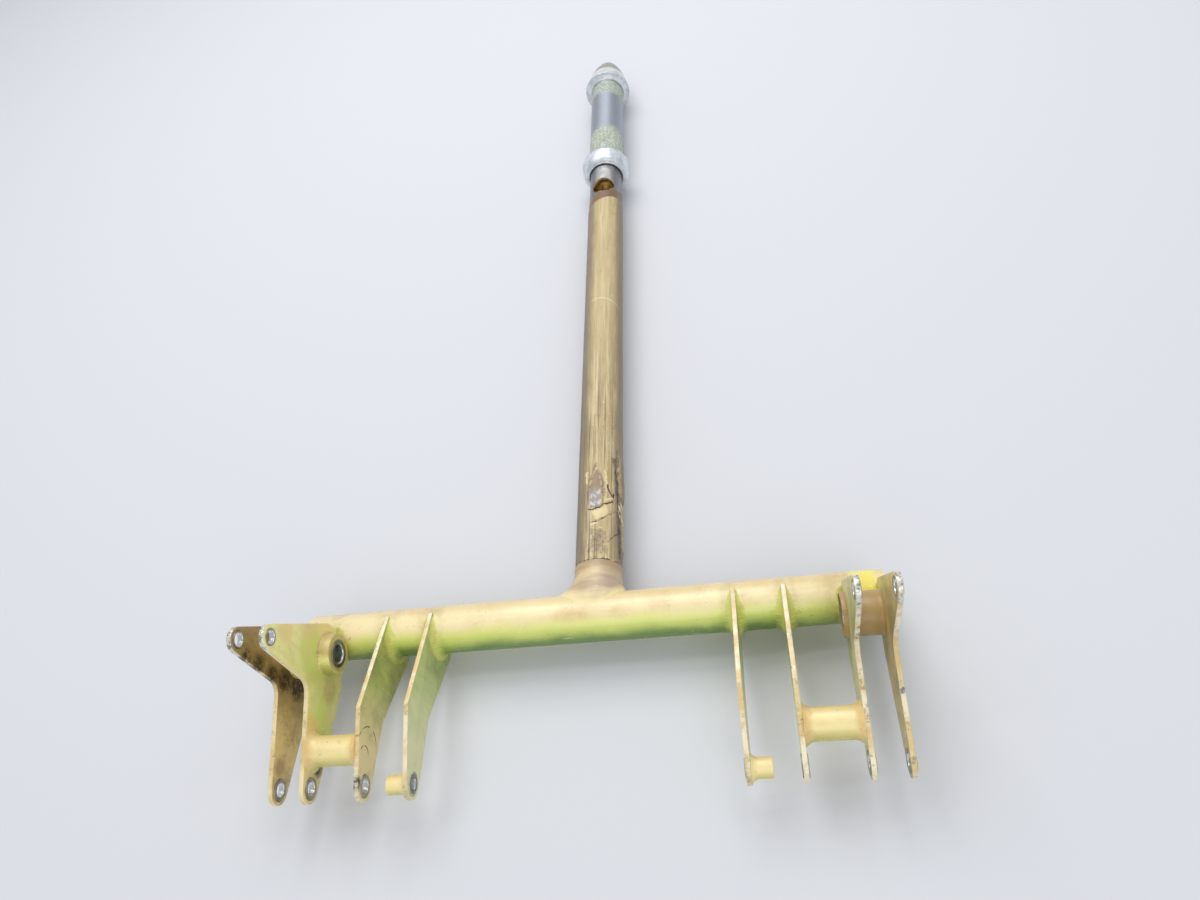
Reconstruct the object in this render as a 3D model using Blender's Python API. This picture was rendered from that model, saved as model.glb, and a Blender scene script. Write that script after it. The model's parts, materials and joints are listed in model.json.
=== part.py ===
"""Landing gear retraction lever: a welded lever with a spring-loaded sliding grip.

A hollow torque tube lies along X. Eight profiled plates are welded to it: four bellcranks, in two
end pairs, and four plain drive arms. A lever tube stands off the torque tube along +Y and carries a
turned grip, which slides towards the torque tube against a spring and comes back to its stop.

Lengths are in metres. Inside the assembly the torque tube's axis is X, the lever's axis is Y, and
they cross at the weldment's own origin. The weldment empty then puts the middle of the object's
underside at the world's origin.
"""

import math

import bmesh
import bpy

MM = 0.001

# Fits between neighbouring pieces
WELD_GAP = 0.3 * MM
SLIDE_GAP = 0.3 * MM

# Torque tube, along X
TUBE_RADIUS = 12.7 * MM
TUBE_WALL = 1.65 * MM
TUBE_LEFT_OVERHANG = 0.8 * MM
TUBE_RIGHT_OVERHANG = 3.0 * MM

# Plates: their thickness, and the steps between their centres from the middle of the row outwards
PLATE_THICKNESS = 2.4 * MM
ROW_CENTRE_X = -8.8 * MM
INNER_ARM_SPREAD = 80.7 * MM
ARM_STEP = 25.0 * MM
SPACER_STEP = 28.6 * MM
BELLCRANK_STEP = 16.6 * MM

# Outline that the arms and the bellcranks share, in the plate's own Y and Z
TIP_Y = -83.3 * MM
TIP_Z = 7.0 * MM
TIP_END_RADIUS = 7.3 * MM
SADDLE_LAND = 1.0 * MM
CORNER_STEP = math.radians(15)

# Drive arm outline
ARM_KNEE = (-50.8 * MM, 26.4 * MM)
ARM_BELLY = (-49.5 * MM, -0.9 * MM)
ARM_HEEL_Y = -7.6 * MM
ARM_HEEL_DROP = 6.5 * MM
ARM_CORNER_RADIUS = 3.0 * MM
ARM_SADDLE_TOP = math.radians(74)
ARM_SADDLE_BOTTOM = math.radians(280)

# Bellcrank outline
HORN_Y = -31.8 * MM
HORN_Z = 71.2 * MM
HORN_END_RADIUS = 6.1 * MM
CROOK = (-38.2 * MM, 30.0 * MM)
CROOK_RADIUS = 8.0 * MM
BACK_CORNER = (-2.8 * MM, 24.2 * MM)
BACK_CORNER_RADIUS = 6.0 * MM
BELLCRANK_BELLY = (-28.4 * MM, -3.0 * MM)
BELLCRANK_NOTCH = (-24.6 * MM, -0.4 * MM)
BELLCRANK_SADDLE_TOP = math.radians(98)
BELLCRANK_SADDLE_BOTTOM = math.radians(186)

# Welds
ARM_WELD = 1.5 * MM
ARM_WELD_SETBACK = math.radians(2.3)
SPACER_WELD = 2.0 * MM
STUB_WELD = 1.6 * MM
PIVOT_WELD = 1.8 * MM
WELD_TOE = 0.4 * MM

# Pivot sleeves, which lie against the torque tube and hold the pressed pivot bushes
PIVOT_ANGLE = math.radians(134.3)
PIVOT_SLEEVE_RADIUS = 10.5 * MM
PIVOT_WEB = 1.8 * MM
PIVOT_INBOARD_LEFT = 6.0 * MM
PIVOT_INBOARD_RIGHT = 1.2 * MM
PIVOT_OUTBOARD = 1.6 * MM
PIVOT_BUSH_RADIUS = 7.15 * MM
PIVOT_BORE_RADIUS = 4.76 * MM
PIVOT_BUSH_LENGTH = 10.0 * MM
PIVOT_BUSH_PROUD = 0.5 * MM

# Bolt bushes at the tips and horns, and the stub bushes of the two inner arms
BOLT_BORE_RADIUS = 3.175 * MM
TIP_BUSH_RADIUS = 5.2 * MM
HORN_BUSH_RADIUS = 4.2 * MM
BUSH_PROUD = 0.4 * MM
STUB_RADIUS = 4.7 * MM
STUB_LENGTH = 9.8 * MM

# Cross spacers
SPACER_Y = -66.8 * MM
SPACER_Z = 11.9 * MM
SPACER_RADIUS = 7.5 * MM
SPACER_WALL = 2.0 * MM

# Lever tube and what is fixed to it, along Y
LEVER_RADIUS = 12.4 * MM
LEVER_WALL = 1.65 * MM
COLLAR_REACH = 15.0 * MM
COLLAR_WALL = 0.6 * MM
COLLAR_SKIRT_Y = 5.5 * MM
COLLAR_LEFT_FLARE = 10.5 * MM
COLLAR_RIGHT_FLARE = 2.0 * MM
SLEEVE_WALL = 0.4 * MM
SLEEVE_SLANT = math.radians(20)
SLEEVE_TOP_CLEARANCE = 16.0 * MM
ACCESS_HOLE_RADIUS = 8.4 * MM
ACCESS_HOLE_SETBACK = 25.0 * MM

# Sliding grip, measured from its mouth
MOUTH_Y = 382.5 * MM
TRAVEL = 25.4 * MM
GRIP_RADIUS = 13.7 * MM
BEAD_RADIUS = 19.2 * MM
BEAD_FRONT = 11.6 * MM
BEAD_BACK = 8.0 * MM
BEAD_LAND = 1.0 * MM
MOUTH_LIP = 0.7 * MM
MOUTH_CHAMFER = 0.9 * MM
GRIP_BORE_DEPTH = 116.0 * MM
GRIP_END_WALL = 10.4 * MM
FLANGE_FLARE = 3.6 * MM
FLANGE_EDGE = 1.8 * MM
FLANGE_CHAMFER = 0.8 * MM
LEVER_END_CLEARANCE = 6.0 * MM

# Nose, screwed into the grip's end
NOSE_LENGTH = 43.4 * MM
NOSE_SHOULDER_POWER = 1.2
NOSE_POINT_POWER = 0.6
NOSE_SHOULDER_DROP = 0.5 * MM
NOSE_GROOVE_DEPTH = 0.8 * MM
NOSE_GROOVE_PLACE = 12.0 * MM
SPIGOT_RADIUS = 11.0 * MM

# Return spring, its plug and the stop on the rod
ROD_RADIUS = 3.175 * MM
ROD_SEAT_DEPTH = 20.0 * MM
ROD_TAIL = 3.0 * MM
PLUG_LENGTH = 12.0 * MM
PLUG_SETBACK = 5.5 * MM
RIVET_RADIUS = 1.6 * MM
RIVET_DEPTH = 3.4 * MM
SPRING_RADIUS = 8.6 * MM
SPRING_WIRE_RADIUS = 0.9 * MM
SPRING_COILS = 11
SPRING_END_PITCH = 2.4 * MM
WASHER_RADIUS = 8.7 * MM
WASHER_THICKNESS = 1.6 * MM
NUT_ACROSS_FLATS = 11.1 * MM
NUT_THICKNESS = 5.6 * MM
PIN_RADIUS = 0.8 * MM
PIN_LENGTH = 13.0 * MM
PIN_SETBACK = 2.2 * MM

# Facets round the turned pieces
LARGE_FACETS = 36
SMALL_FACETS = 20
SPRING_FACETS = 10
WIRE_FACETS = 6

# Worked out from the driving sizes above
HALF_PLATE = PLATE_THICKNESS / 2
OUTER_ARM_SPREAD = INNER_ARM_SPREAD + ARM_STEP
INNER_BELLCRANK_SPREAD = OUTER_ARM_SPREAD + SPACER_STEP
OUTER_BELLCRANK_SPREAD = INNER_BELLCRANK_SPREAD + BELLCRANK_STEP
TUBE_CUT_RADIUS = TUBE_RADIUS + WELD_GAP
ARM_HEEL_DEPTH = TUBE_RADIUS + ARM_HEEL_DROP
PIVOT_CUT_RADIUS = PIVOT_SLEEVE_RADIUS + WELD_GAP
PIVOT_DISTANCE = TUBE_CUT_RADIUS + PIVOT_WEB + PIVOT_CUT_RADIUS
BELLCRANK_WELD = PIVOT_WEB - WELD_GAP
PIVOT_Y = PIVOT_DISTANCE * math.cos(PIVOT_ANGLE)
PIVOT_Z = PIVOT_DISTANCE * math.sin(PIVOT_ANGLE)
COLLAR_TOP_Y = TUBE_RADIUS + COLLAR_REACH
SLEEVE_BOTTOM_Y = COLLAR_TOP_Y + WELD_GAP
SLEEVE_INNER_RADIUS = LEVER_RADIUS + WELD_GAP
SLEEVE_RADIUS = SLEEVE_INNER_RADIUS + SLEEVE_WALL
SLEEVE_TOP_Y = MOUTH_Y - TRAVEL - SLEEVE_TOP_CLEARANCE
ACCESS_HOLE_Y = MOUTH_Y - ACCESS_HOLE_SETBACK
GRIP_BORE_RADIUS = LEVER_RADIUS + SLIDE_GAP
GRIP_LENGTH = GRIP_BORE_DEPTH + GRIP_END_WALL
GRIP_SHOULDER_Y = MOUTH_Y + GRIP_BORE_DEPTH
GRIP_END_Y = MOUTH_Y + GRIP_LENGTH
LEVER_TOP_Y = GRIP_SHOULDER_Y - TRAVEL - LEVER_END_CLEARANCE
NOSE_BASE_Y = GRIP_END_Y + WELD_GAP
NOSE_TIP_Y = NOSE_BASE_Y + NOSE_LENGTH
NOSE_RADIUS = BEAD_RADIUS - NOSE_SHOULDER_DROP
LEVER_BORE_RADIUS = LEVER_RADIUS - LEVER_WALL
ROD_CUT_RADIUS = ROD_RADIUS + SLIDE_GAP
PLUG_BOTTOM_Y = MOUTH_Y - PLUG_SETBACK
PLUG_TOP_Y = PLUG_BOTTOM_Y + PLUG_LENGTH
RIVET_Y = PLUG_TOP_Y - PLUG_LENGTH / 4
WASHER_BOTTOM_Y = PLUG_BOTTOM_Y - WELD_GAP - WASHER_THICKNESS
NUT_BOTTOM_Y = WASHER_BOTTOM_Y - WELD_GAP - NUT_THICKNESS
PIN_Y = NUT_BOTTOM_Y - PIN_SETBACK
ROD_BOTTOM_Y = PIN_Y - ROD_TAIL
LEFT_X = ROW_CENTRE_X - OUTER_BELLCRANK_SPREAD - HALF_PLATE
RIGHT_X = ROW_CENTRE_X + OUTER_BELLCRANK_SPREAD + HALF_PLATE
OBJECT_MIN_X = LEFT_X - max(TUBE_LEFT_OVERHANG, PIVOT_OUTBOARD + PIVOT_BUSH_PROUD)
OBJECT_MAX_X = RIGHT_X + max(TUBE_RIGHT_OVERHANG, PIVOT_OUTBOARD + PIVOT_BUSH_PROUD)
OBJECT_MIN_Y = TIP_Y - TIP_END_RADIUS
OBJECT_LOW_Z = -BEAD_RADIUS


def clear_scene():
    """Remove every object, so that the script can be run again."""
    for old in list(bpy.data.objects):
        bpy.data.objects.remove(old, do_unlink=True)


def finish(name, colour, roughness, metallic):
    """Make a Principled material."""
    material = bpy.data.materials.new(name)
    material.use_nodes = True
    shader = material.node_tree.nodes["Principled BSDF"]
    shader.inputs["Base Color"].default_value = (*colour, 1.0)
    shader.inputs["Roughness"].default_value = roughness
    shader.inputs["Metallic"].default_value = metallic
    material.diffuse_color = (*colour, 1.0)
    return material


def new_empty(name, place, parent=None):
    """Add an empty that pieces hang on."""
    empty = bpy.data.objects.new(name, None)
    bpy.context.collection.objects.link(empty)
    empty.parent = parent
    empty.location = place
    return empty


def new_object(name, bm, place, turn=(0.0, 0.0, 0.0), parent=None, material=None):
    """Turn a bmesh into a named object with smooth round faces and sharp corners."""
    mesh = bpy.data.meshes.new(name)
    bmesh.ops.recalc_face_normals(bm, faces=bm.faces)
    bm.to_mesh(mesh)
    bm.free()
    mesh.shade_smooth()
    mesh.set_sharp_from_angle(angle=math.radians(35))
    if material:
        mesh.materials.append(material)
    obj = bpy.data.objects.new(name, mesh)
    bpy.context.collection.objects.link(obj)
    obj.parent = parent
    obj.location = place
    obj.rotation_euler = turn
    return obj


def as_cutter(obj):
    """Mark an object as a tool for Boolean modifiers."""
    obj.hide_render = True
    obj.display_type = "WIRE"
    return obj


def boolean(obj, tool, operation="DIFFERENCE"):
    """Add a Boolean modifier that cuts with, or joins, the tool."""
    modifier = obj.modifiers.new(f"{operation.lower()}_{tool.name}", "BOOLEAN")
    modifier.object = tool
    modifier.operation = operation
    modifier.solver = "EXACT"


ALONG_X = (0.0, math.pi / 2, 0.0)
ALONG_Y = (-math.pi / 2, 0.0, 0.0)


def bridge_rings(bm, rings, closed=False):
    """Join rings of equal length with quads; closed also joins the last ring to the first."""
    pairs = list(zip(rings, rings[1:]))
    if closed:
        pairs.append((rings[-1], rings[0]))
    for lower, upper in pairs:
        count = len(lower)
        for k in range(count):
            after = (k + 1) % count
            bm.faces.new((lower[k], lower[after], upper[after], upper[k]))


def turned(profile, facets):
    """Revolve a profile of (radius, height) round local Z.

    A profile whose first and last points lie on the axis makes a solid bar. Any other profile is
    taken as a closed loop, and makes a ring with a bore.
    """
    bm = bmesh.new()
    solid = profile[0][0] == 0.0 and profile[-1][0] == 0.0
    body = profile[1:-1] if solid else profile
    rings = []
    for radius, height in body:
        ring = []
        for k in range(facets):
            angle = 2 * math.pi * k / facets
            ring.append(bm.verts.new((radius * math.cos(angle), radius * math.sin(angle), height)))
        rings.append(ring)
    bridge_rings(bm, rings, closed=not solid)
    if solid:
        for ring, (_, height) in ((rings[0], profile[0]), (rings[-1], profile[-1])):
            pole = bm.verts.new((0.0, 0.0, height))
            for k in range(facets):
                bm.faces.new((ring[k], ring[(k + 1) % facets], pole))
    return bm


def bar(radius, low, high, facets):
    """A plain round bar along local Z."""
    return turned([(0.0, low), (radius, low), (radius, high), (0.0, high)], facets)


def ring(inner, outer, low, high, facets):
    """A plain round tube along local Z."""
    return turned([(inner, low), (outer, low), (outer, high), (inner, high)], facets)


def arc(centre, radius, start, end, step=CORNER_STEP):
    """Points on an arc from one angle to another, both ends included."""
    count = max(2, math.ceil(abs(end - start) / step))
    points = []
    for k in range(count + 1):
        angle = start + (end - start) * k / count
        points.append((centre[0] + radius * math.cos(angle), centre[1] + radius * math.sin(angle)))
    return points


def polar(angle, radius):
    """A point at an angle and a radius round the torque tube's axis."""
    return (radius * math.cos(angle), radius * math.sin(angle))


def tangent_angle(point, centre, radius, side):
    """Angle on a circle where the tangent from an outside point touches it.

    side is 1 where the touching point lies anticlockwise of the line from the centre to the point,
    and -1 where it lies clockwise.
    """
    dy = point[0] - centre[0]
    dz = point[1] - centre[1]
    distance = math.hypot(dy, dz)
    return math.atan2(dz, dy) + side * math.acos(radius / distance)


def rounded_corner(before, corner, after, radius):
    """Points that round a corner of an outline with a tangent arc."""
    to_before = math.atan2(before[1] - corner[1], before[0] - corner[0])
    to_after = math.atan2(after[1] - corner[1], after[0] - corner[0])
    opening = (to_after - to_before + math.pi) % (2 * math.pi) - math.pi
    half = abs(opening) / 2
    middle = to_before + opening / 2
    reach = radius / math.sin(half)
    centre = (corner[0] + reach * math.cos(middle), corner[1] + reach * math.sin(middle))
    side = 1 if opening > 0 else -1
    start = to_before - side * math.pi / 2
    end = to_after + side * math.pi / 2
    sweep = (end - start + math.pi) % (2 * math.pi) - math.pi
    return arc(centre, radius, start, start + sweep)


def end_arc(before, centre, radius, after):
    """The rounded end of a plate between two straight edges, taken clockwise round its centre."""
    start = tangent_angle(before, centre, radius, -1)
    end = tangent_angle(after, centre, radius, 1)
    sweep = -((start - end) % (2 * math.pi))
    return arc(centre, radius, start, start + sweep)


def drive_arm_outline():
    """Outline of a plain arm in Y and Z, clockwise from the torque tube's axis."""
    tip = (TIP_Y, TIP_Z)
    land_radius = TUBE_CUT_RADIUS + SADDLE_LAND
    saddle_bottom = polar(ARM_SADDLE_BOTTOM, land_radius)
    saddle_top = polar(ARM_SADDLE_TOP, land_radius)
    heel = (ARM_HEEL_Y, -ARM_HEEL_DEPTH)
    outline = [(0.0, 0.0), saddle_bottom]
    outline += rounded_corner(saddle_bottom, heel, ARM_BELLY, ARM_CORNER_RADIUS)
    outline.append(ARM_BELLY)
    outline += end_arc(ARM_BELLY, tip, TIP_END_RADIUS, ARM_KNEE)
    outline += rounded_corner(tip, ARM_KNEE, saddle_top, ARM_CORNER_RADIUS)
    outline.append(saddle_top)
    return outline


def bellcrank_outline():
    """Outline of a bellcrank in Y and Z, clockwise from the torque tube's axis."""
    tip = (TIP_Y, TIP_Z)
    horn = (HORN_Y, HORN_Z)
    land_radius = TUBE_CUT_RADIUS + SADDLE_LAND
    saddle_bottom = polar(BELLCRANK_SADDLE_BOTTOM, land_radius)
    saddle_top = polar(BELLCRANK_SADDLE_TOP, land_radius)
    outline = [(0.0, 0.0), saddle_bottom, BELLCRANK_NOTCH, BELLCRANK_BELLY]
    tip_end = end_arc(BELLCRANK_BELLY, tip, TIP_END_RADIUS, CROOK)
    horn_end = end_arc(CROOK, horn, HORN_END_RADIUS, BACK_CORNER)
    outline += tip_end
    outline += rounded_corner(tip_end[-1], CROOK, horn_end[0], CROOK_RADIUS)
    outline += horn_end
    outline += rounded_corner(horn_end[-1], BACK_CORNER, saddle_top, BACK_CORNER_RADIUS)
    outline.append(saddle_top)
    return outline


def plate(outline, thickness):
    """Extrude an outline in Y and Z along X, centred on X = 0."""
    bm = bmesh.new()
    verts = [bm.verts.new((-thickness / 2, y, z)) for y, z in outline]
    face = bm.faces.new(verts)
    grown = bmesh.ops.extrude_face_region(bm, geom=[face])
    moved = [item for item in grown["geom"] if isinstance(item, bmesh.types.BMVert)]
    bmesh.ops.translate(bm, vec=(thickness, 0.0, 0.0), verts=moved)
    return bm


def saddle_weld(start, end, size):
    """The double fillet that follows a plate's saddle round the torque tube.

    It starts inside the tube's clearance, which then trims it to the same bore as the plate.
    """
    inner = TUBE_RADIUS - size
    toe = TUBE_CUT_RADIUS + WELD_TOE
    root = TUBE_CUT_RADIUS + size
    reach = HALF_PLATE + size
    profile = [(inner, -reach), (toe, -reach), (root, -HALF_PLATE)]
    profile += [(root, HALF_PLATE), (toe, reach), (inner, reach)]
    count = math.ceil((end - start) / CORNER_STEP)
    bm = bmesh.new()
    sections = []
    for k in range(count + 1):
        y, z = polar(start + (end - start) * k / count, 1.0)
        sections.append([bm.verts.new((x, radius * y, radius * z)) for radius, x in profile])
    bridge_rings(bm, sections)
    bm.faces.new(sections[0])
    bm.faces.new(sections[-1])
    return bm


def make_plates(weldment, cutters, paint):
    """The four bellcranks and four drive arms, each with its bores and its weld."""
    arm_range = (ARM_SADDLE_TOP + ARM_WELD_SETBACK, ARM_SADDLE_BOTTOM - ARM_WELD_SETBACK, ARM_WELD)
    crank_range = (BELLCRANK_SADDLE_TOP, BELLCRANK_SADDLE_BOTTOM, BELLCRANK_WELD)
    arm = (drive_arm_outline, arm_range, ("tip",))
    stub_arm = (drive_arm_outline, arm_range, ("stub",))
    crank = (bellcrank_outline, crank_range, ("tip", "horn", "pivot"))
    rows = (
        ("bellcrank_left_outer", -OUTER_BELLCRANK_SPREAD, crank),
        ("bellcrank_left_inner", -INNER_BELLCRANK_SPREAD, crank),
        ("drive_arm_left_outer", -OUTER_ARM_SPREAD, arm),
        ("drive_arm_left_inner", -INNER_ARM_SPREAD, stub_arm),
        ("drive_arm_right_inner", INNER_ARM_SPREAD, stub_arm),
        ("drive_arm_right_outer", OUTER_ARM_SPREAD, arm),
        ("bellcrank_right_inner", INNER_BELLCRANK_SPREAD, crank),
        ("bellcrank_right_outer", OUTER_BELLCRANK_SPREAD, crank),
    )
    for name, spread, (outline, saddle, bores) in rows:
        place = (ROW_CENTRE_X + spread, 0.0, 0.0)
        body = new_object(name, plate(outline(), PLATE_THICKNESS), place, parent=weldment,
                          material=paint)
        weld = as_cutter(new_object(f"{name}_weld_form", saddle_weld(*saddle), place,
                                    parent=weldment))
        boolean(body, weld, "UNION")
        boolean(body, cutters["tube"])
        for bore in bores:
            boolean(body, cutters[bore])


def make_cutters(weldment):
    """Long clearance bars along X, one for each line of bores."""
    low = OBJECT_MIN_X - PLATE_THICKNESS
    high = OBJECT_MAX_X + PLATE_THICKNESS
    lines = {
        "tube": (TUBE_CUT_RADIUS, 0.0, 0.0, LARGE_FACETS),
        "tip": (TIP_BUSH_RADIUS + WELD_GAP, TIP_Y, TIP_Z, SMALL_FACETS),
        "stub": (STUB_RADIUS + WELD_GAP, TIP_Y, TIP_Z, SMALL_FACETS),
        "horn": (HORN_BUSH_RADIUS + WELD_GAP, HORN_Y, HORN_Z, SMALL_FACETS),
        "pivot": (PIVOT_CUT_RADIUS, PIVOT_Y, PIVOT_Z, SMALL_FACETS),
        "saddle": (TUBE_CUT_RADIUS + PIVOT_WEB, 0.0, 0.0, LARGE_FACETS),
    }
    cutters = {}
    for name, (radius, y, z, facets) in lines.items():
        bm = bar(radius, low, high, facets)
        cutters[name] = as_cutter(new_object(f"{name}_clearance", bm, (0.0, y, z), ALONG_X, weldment))
    return cutters


def make_torque_tube(weldment, paint):
    """The hollow tube that the plates and the lever are welded to, open at both ends."""
    low = LEFT_X - TUBE_LEFT_OVERHANG
    high = RIGHT_X + TUBE_RIGHT_OVERHANG
    bm = ring(TUBE_RADIUS - TUBE_WALL, TUBE_RADIUS, low, high, LARGE_FACETS)
    new_object("torque_tube", bm, (0.0, 0.0, 0.0), ALONG_X, weldment, paint)


def pivot_sleeve_profile(length, faces):
    """Profile of a pivot sleeve: a tube with a fillet at each plate face.

    faces lists each fillet as its root's height and the way in which it tapers, 1 or -1.
    """
    bore = PIVOT_BUSH_RADIUS + WELD_GAP
    profile = [(bore, length), (bore, 0.0)]
    outside = [(PIVOT_SLEEVE_RADIUS, 0.0), (PIVOT_SLEEVE_RADIUS, length)]
    for height, way in faces:
        root = height + way * WELD_GAP
        toe = root + way * PIVOT_WELD
        outside.append((PIVOT_SLEEVE_RADIUS + PIVOT_WELD, root))
        outside.append((PIVOT_SLEEVE_RADIUS, root - way * WELD_GAP / 2))
        outside.append((PIVOT_SLEEVE_RADIUS, toe))
    outside.sort(key=lambda point: point[1])
    return profile + outside


def make_pivots(weldment, cutters, paint, steel):
    """One pivot sleeve for each end pair of bellcranks, with a pressed bush in each of its ends.

    The sleeve's own welds are trimmed where they would run into the bellcranks' saddle welds.
    """
    for side, way, inboard in (("left", -1, PIVOT_INBOARD_LEFT), ("right", 1, PIVOT_INBOARD_RIGHT)):
        length = inboard + BELLCRANK_STEP + PLATE_THICKNESS + PIVOT_OUTBOARD
        faces = [(inboard + PLATE_THICKNESS, 1), (inboard + BELLCRANK_STEP, -1)]
        if inboard > PIVOT_WELD + 2 * WELD_GAP:
            faces.append((inboard, -1))
        inboard_x = ROW_CENTRE_X + way * (INNER_BELLCRANK_SPREAD - HALF_PLATE - inboard)
        turn = (0.0, way * math.pi / 2, 0.0)
        place = (inboard_x, PIVOT_Y, PIVOT_Z)
        bm = turned(pivot_sleeve_profile(length, faces), SMALL_FACETS)
        sleeve = new_object(f"pivot_sleeve_{side}", bm, place, turn, weldment, paint)
        boolean(sleeve, cutters["saddle"])
        ends = (
            ("inner", -PIVOT_BUSH_PROUD, PIVOT_BUSH_LENGTH),
            ("outer", length - PIVOT_BUSH_LENGTH, length + PIVOT_BUSH_PROUD),
        )
        for end, low, high in ends:
            bm = ring(PIVOT_BORE_RADIUS, PIVOT_BUSH_RADIUS, low, high, SMALL_FACETS)
            new_object(f"pivot_bush_{side}_{end}", bm, place, turn, weldment, steel)


def make_bolt_bushes(weldment, steel):
    """Pressed bushes in the tips and horns of the plates, flush but for a slight rim."""
    reach = HALF_PLATE + BUSH_PROUD
    tips = (
        ("left_outer", -OUTER_BELLCRANK_SPREAD),
        ("left_inner", -INNER_BELLCRANK_SPREAD),
        ("left_arm", -OUTER_ARM_SPREAD),
        ("right_arm", OUTER_ARM_SPREAD),
        ("right_inner", INNER_BELLCRANK_SPREAD),
        ("right_outer", OUTER_BELLCRANK_SPREAD),
    )
    for name, spread in tips:
        x = ROW_CENTRE_X + spread
        bm = ring(BOLT_BORE_RADIUS, TIP_BUSH_RADIUS, -reach, reach, SMALL_FACETS)
        new_object(f"tip_bush_{name}", bm, (x, TIP_Y, TIP_Z), ALONG_X, weldment, steel)
        if not name.endswith("arm"):
            bm = ring(BOLT_BORE_RADIUS, HORN_BUSH_RADIUS, -reach, reach, SMALL_FACETS)
            new_object(f"horn_bush_{name}", bm, (x, HORN_Y, HORN_Z), ALONG_X, weldment, steel)


def make_stub_bushes(weldment, paint):
    """The long bushes of the two inner arms, which stand out towards the outer arms."""
    for side, way in (("left", -1), ("right", 1)):
        weld_root = HALF_PLATE + WELD_GAP
        profile = [
            (BOLT_BORE_RADIUS, HALF_PLATE + STUB_LENGTH),
            (BOLT_BORE_RADIUS, -HALF_PLATE - BUSH_PROUD),
            (STUB_RADIUS, -HALF_PLATE - BUSH_PROUD),
            (STUB_RADIUS, weld_root),
            (STUB_RADIUS + STUB_WELD, weld_root),
            (STUB_RADIUS, weld_root + STUB_WELD),
            (STUB_RADIUS, HALF_PLATE + STUB_LENGTH),
        ]
        place = (ROW_CENTRE_X + way * INNER_ARM_SPREAD, TIP_Y, TIP_Z)
        turn = (0.0, way * math.pi / 2, 0.0)
        new_object(f"stub_bush_{side}", turned(profile, SMALL_FACETS), place, turn, weldment, paint)


def make_spacers(weldment, paint):
    """Cross tubes that tie each outer drive arm to the bellcrank beside it."""
    half = (SPACER_STEP - PLATE_THICKNESS) / 2 - WELD_GAP
    bore = SPACER_RADIUS - SPACER_WALL
    flare = SPACER_RADIUS + SPACER_WELD
    profile = [
        (bore, half),
        (bore, -half),
        (flare, -half),
        (flare - SPACER_WELD * 0.6, SPACER_WELD * 0.5 - half),
        (SPACER_RADIUS, SPACER_WELD * 1.4 - half),
        (SPACER_RADIUS, half - SPACER_WELD * 1.4),
        (flare - SPACER_WELD * 0.6, half - SPACER_WELD * 0.5),
        (flare, half),
    ]
    middle = OUTER_ARM_SPREAD + SPACER_STEP / 2
    for side, way in (("left", -1), ("right", 1)):
        place = (ROW_CENTRE_X + way * middle, SPACER_Y, SPACER_Z)
        bm = turned(profile, SMALL_FACETS)
        new_object(f"cross_spacer_{side}", bm, place, ALONG_X, weldment, paint)


def make_lever_tube(weldment, cutters, steel):
    """The lever's tube, coped to the torque tube, with the access hole in its upper wall."""
    bm = ring(LEVER_BORE_RADIUS, LEVER_RADIUS, 0.0, LEVER_TOP_Y, LARGE_FACETS)
    tube = new_object("lever_tube", bm, (0.0, 0.0, 0.0), ALONG_Y, weldment, steel)
    boolean(tube, cutters["tube"])
    hole = bar(ACCESS_HOLE_RADIUS, 0.0, 2 * LEVER_RADIUS, SMALL_FACETS)
    access = new_object("access_hole_clearance", hole, (0.0, ACCESS_HOLE_Y, 0.0), parent=weldment)
    boolean(tube, as_cutter(access))
    rivet = bar(RIVET_RADIUS + WELD_GAP, -2 * LEVER_RADIUS, 2 * LEVER_RADIUS, SPRING_FACETS)
    rivets = new_object("rivet_clearance", rivet, (0.0, RIVET_Y, 0.0), ALONG_X, weldment)
    boolean(tube, as_cutter(rivets))


def make_lever_collar(weldment, paint):
    """The weld at the lever's foot, flared along the torque tube and wider on its left side.

    Its lowest edge follows the curve where the lever meets the torque tube.
    """
    bore = LEVER_RADIUS + WELD_GAP
    wall = bore + COLLAR_WALL
    steps = 6
    shares = [k / steps for k in range(steps + 1)]
    outside = [(share, True) for share in shares]
    inside = [(1.0, False), (0.0, False)]
    bm = bmesh.new()
    rings = []
    for share, flared in outside + inside:
        points = []
        for j in range(LARGE_FACETS):
            angle = 2 * math.pi * j / LARGE_FACETS
            side = math.cos(angle)
            flare = COLLAR_RIGHT_FLARE if side > 0 else COLLAR_LEFT_FLARE
            half_width = wall + flare * (1 - share) ** 4 if flared else bore
            half_depth = wall if flared else bore
            across = half_depth * math.sin(angle)
            saddle = math.sqrt(max(TUBE_CUT_RADIUS ** 2 - across ** 2, 0.0))
            foot = max(saddle, COLLAR_SKIRT_Y)
            height = foot + (COLLAR_TOP_Y - foot) * share
            points.append(bm.verts.new((half_width * side, across, height)))
        rings.append(points)
    bridge_rings(bm, rings, closed=True)
    new_object("lever_weld_collar", bm, (0.0, 0.0, 0.0), ALONG_Y, weldment, paint)


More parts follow.
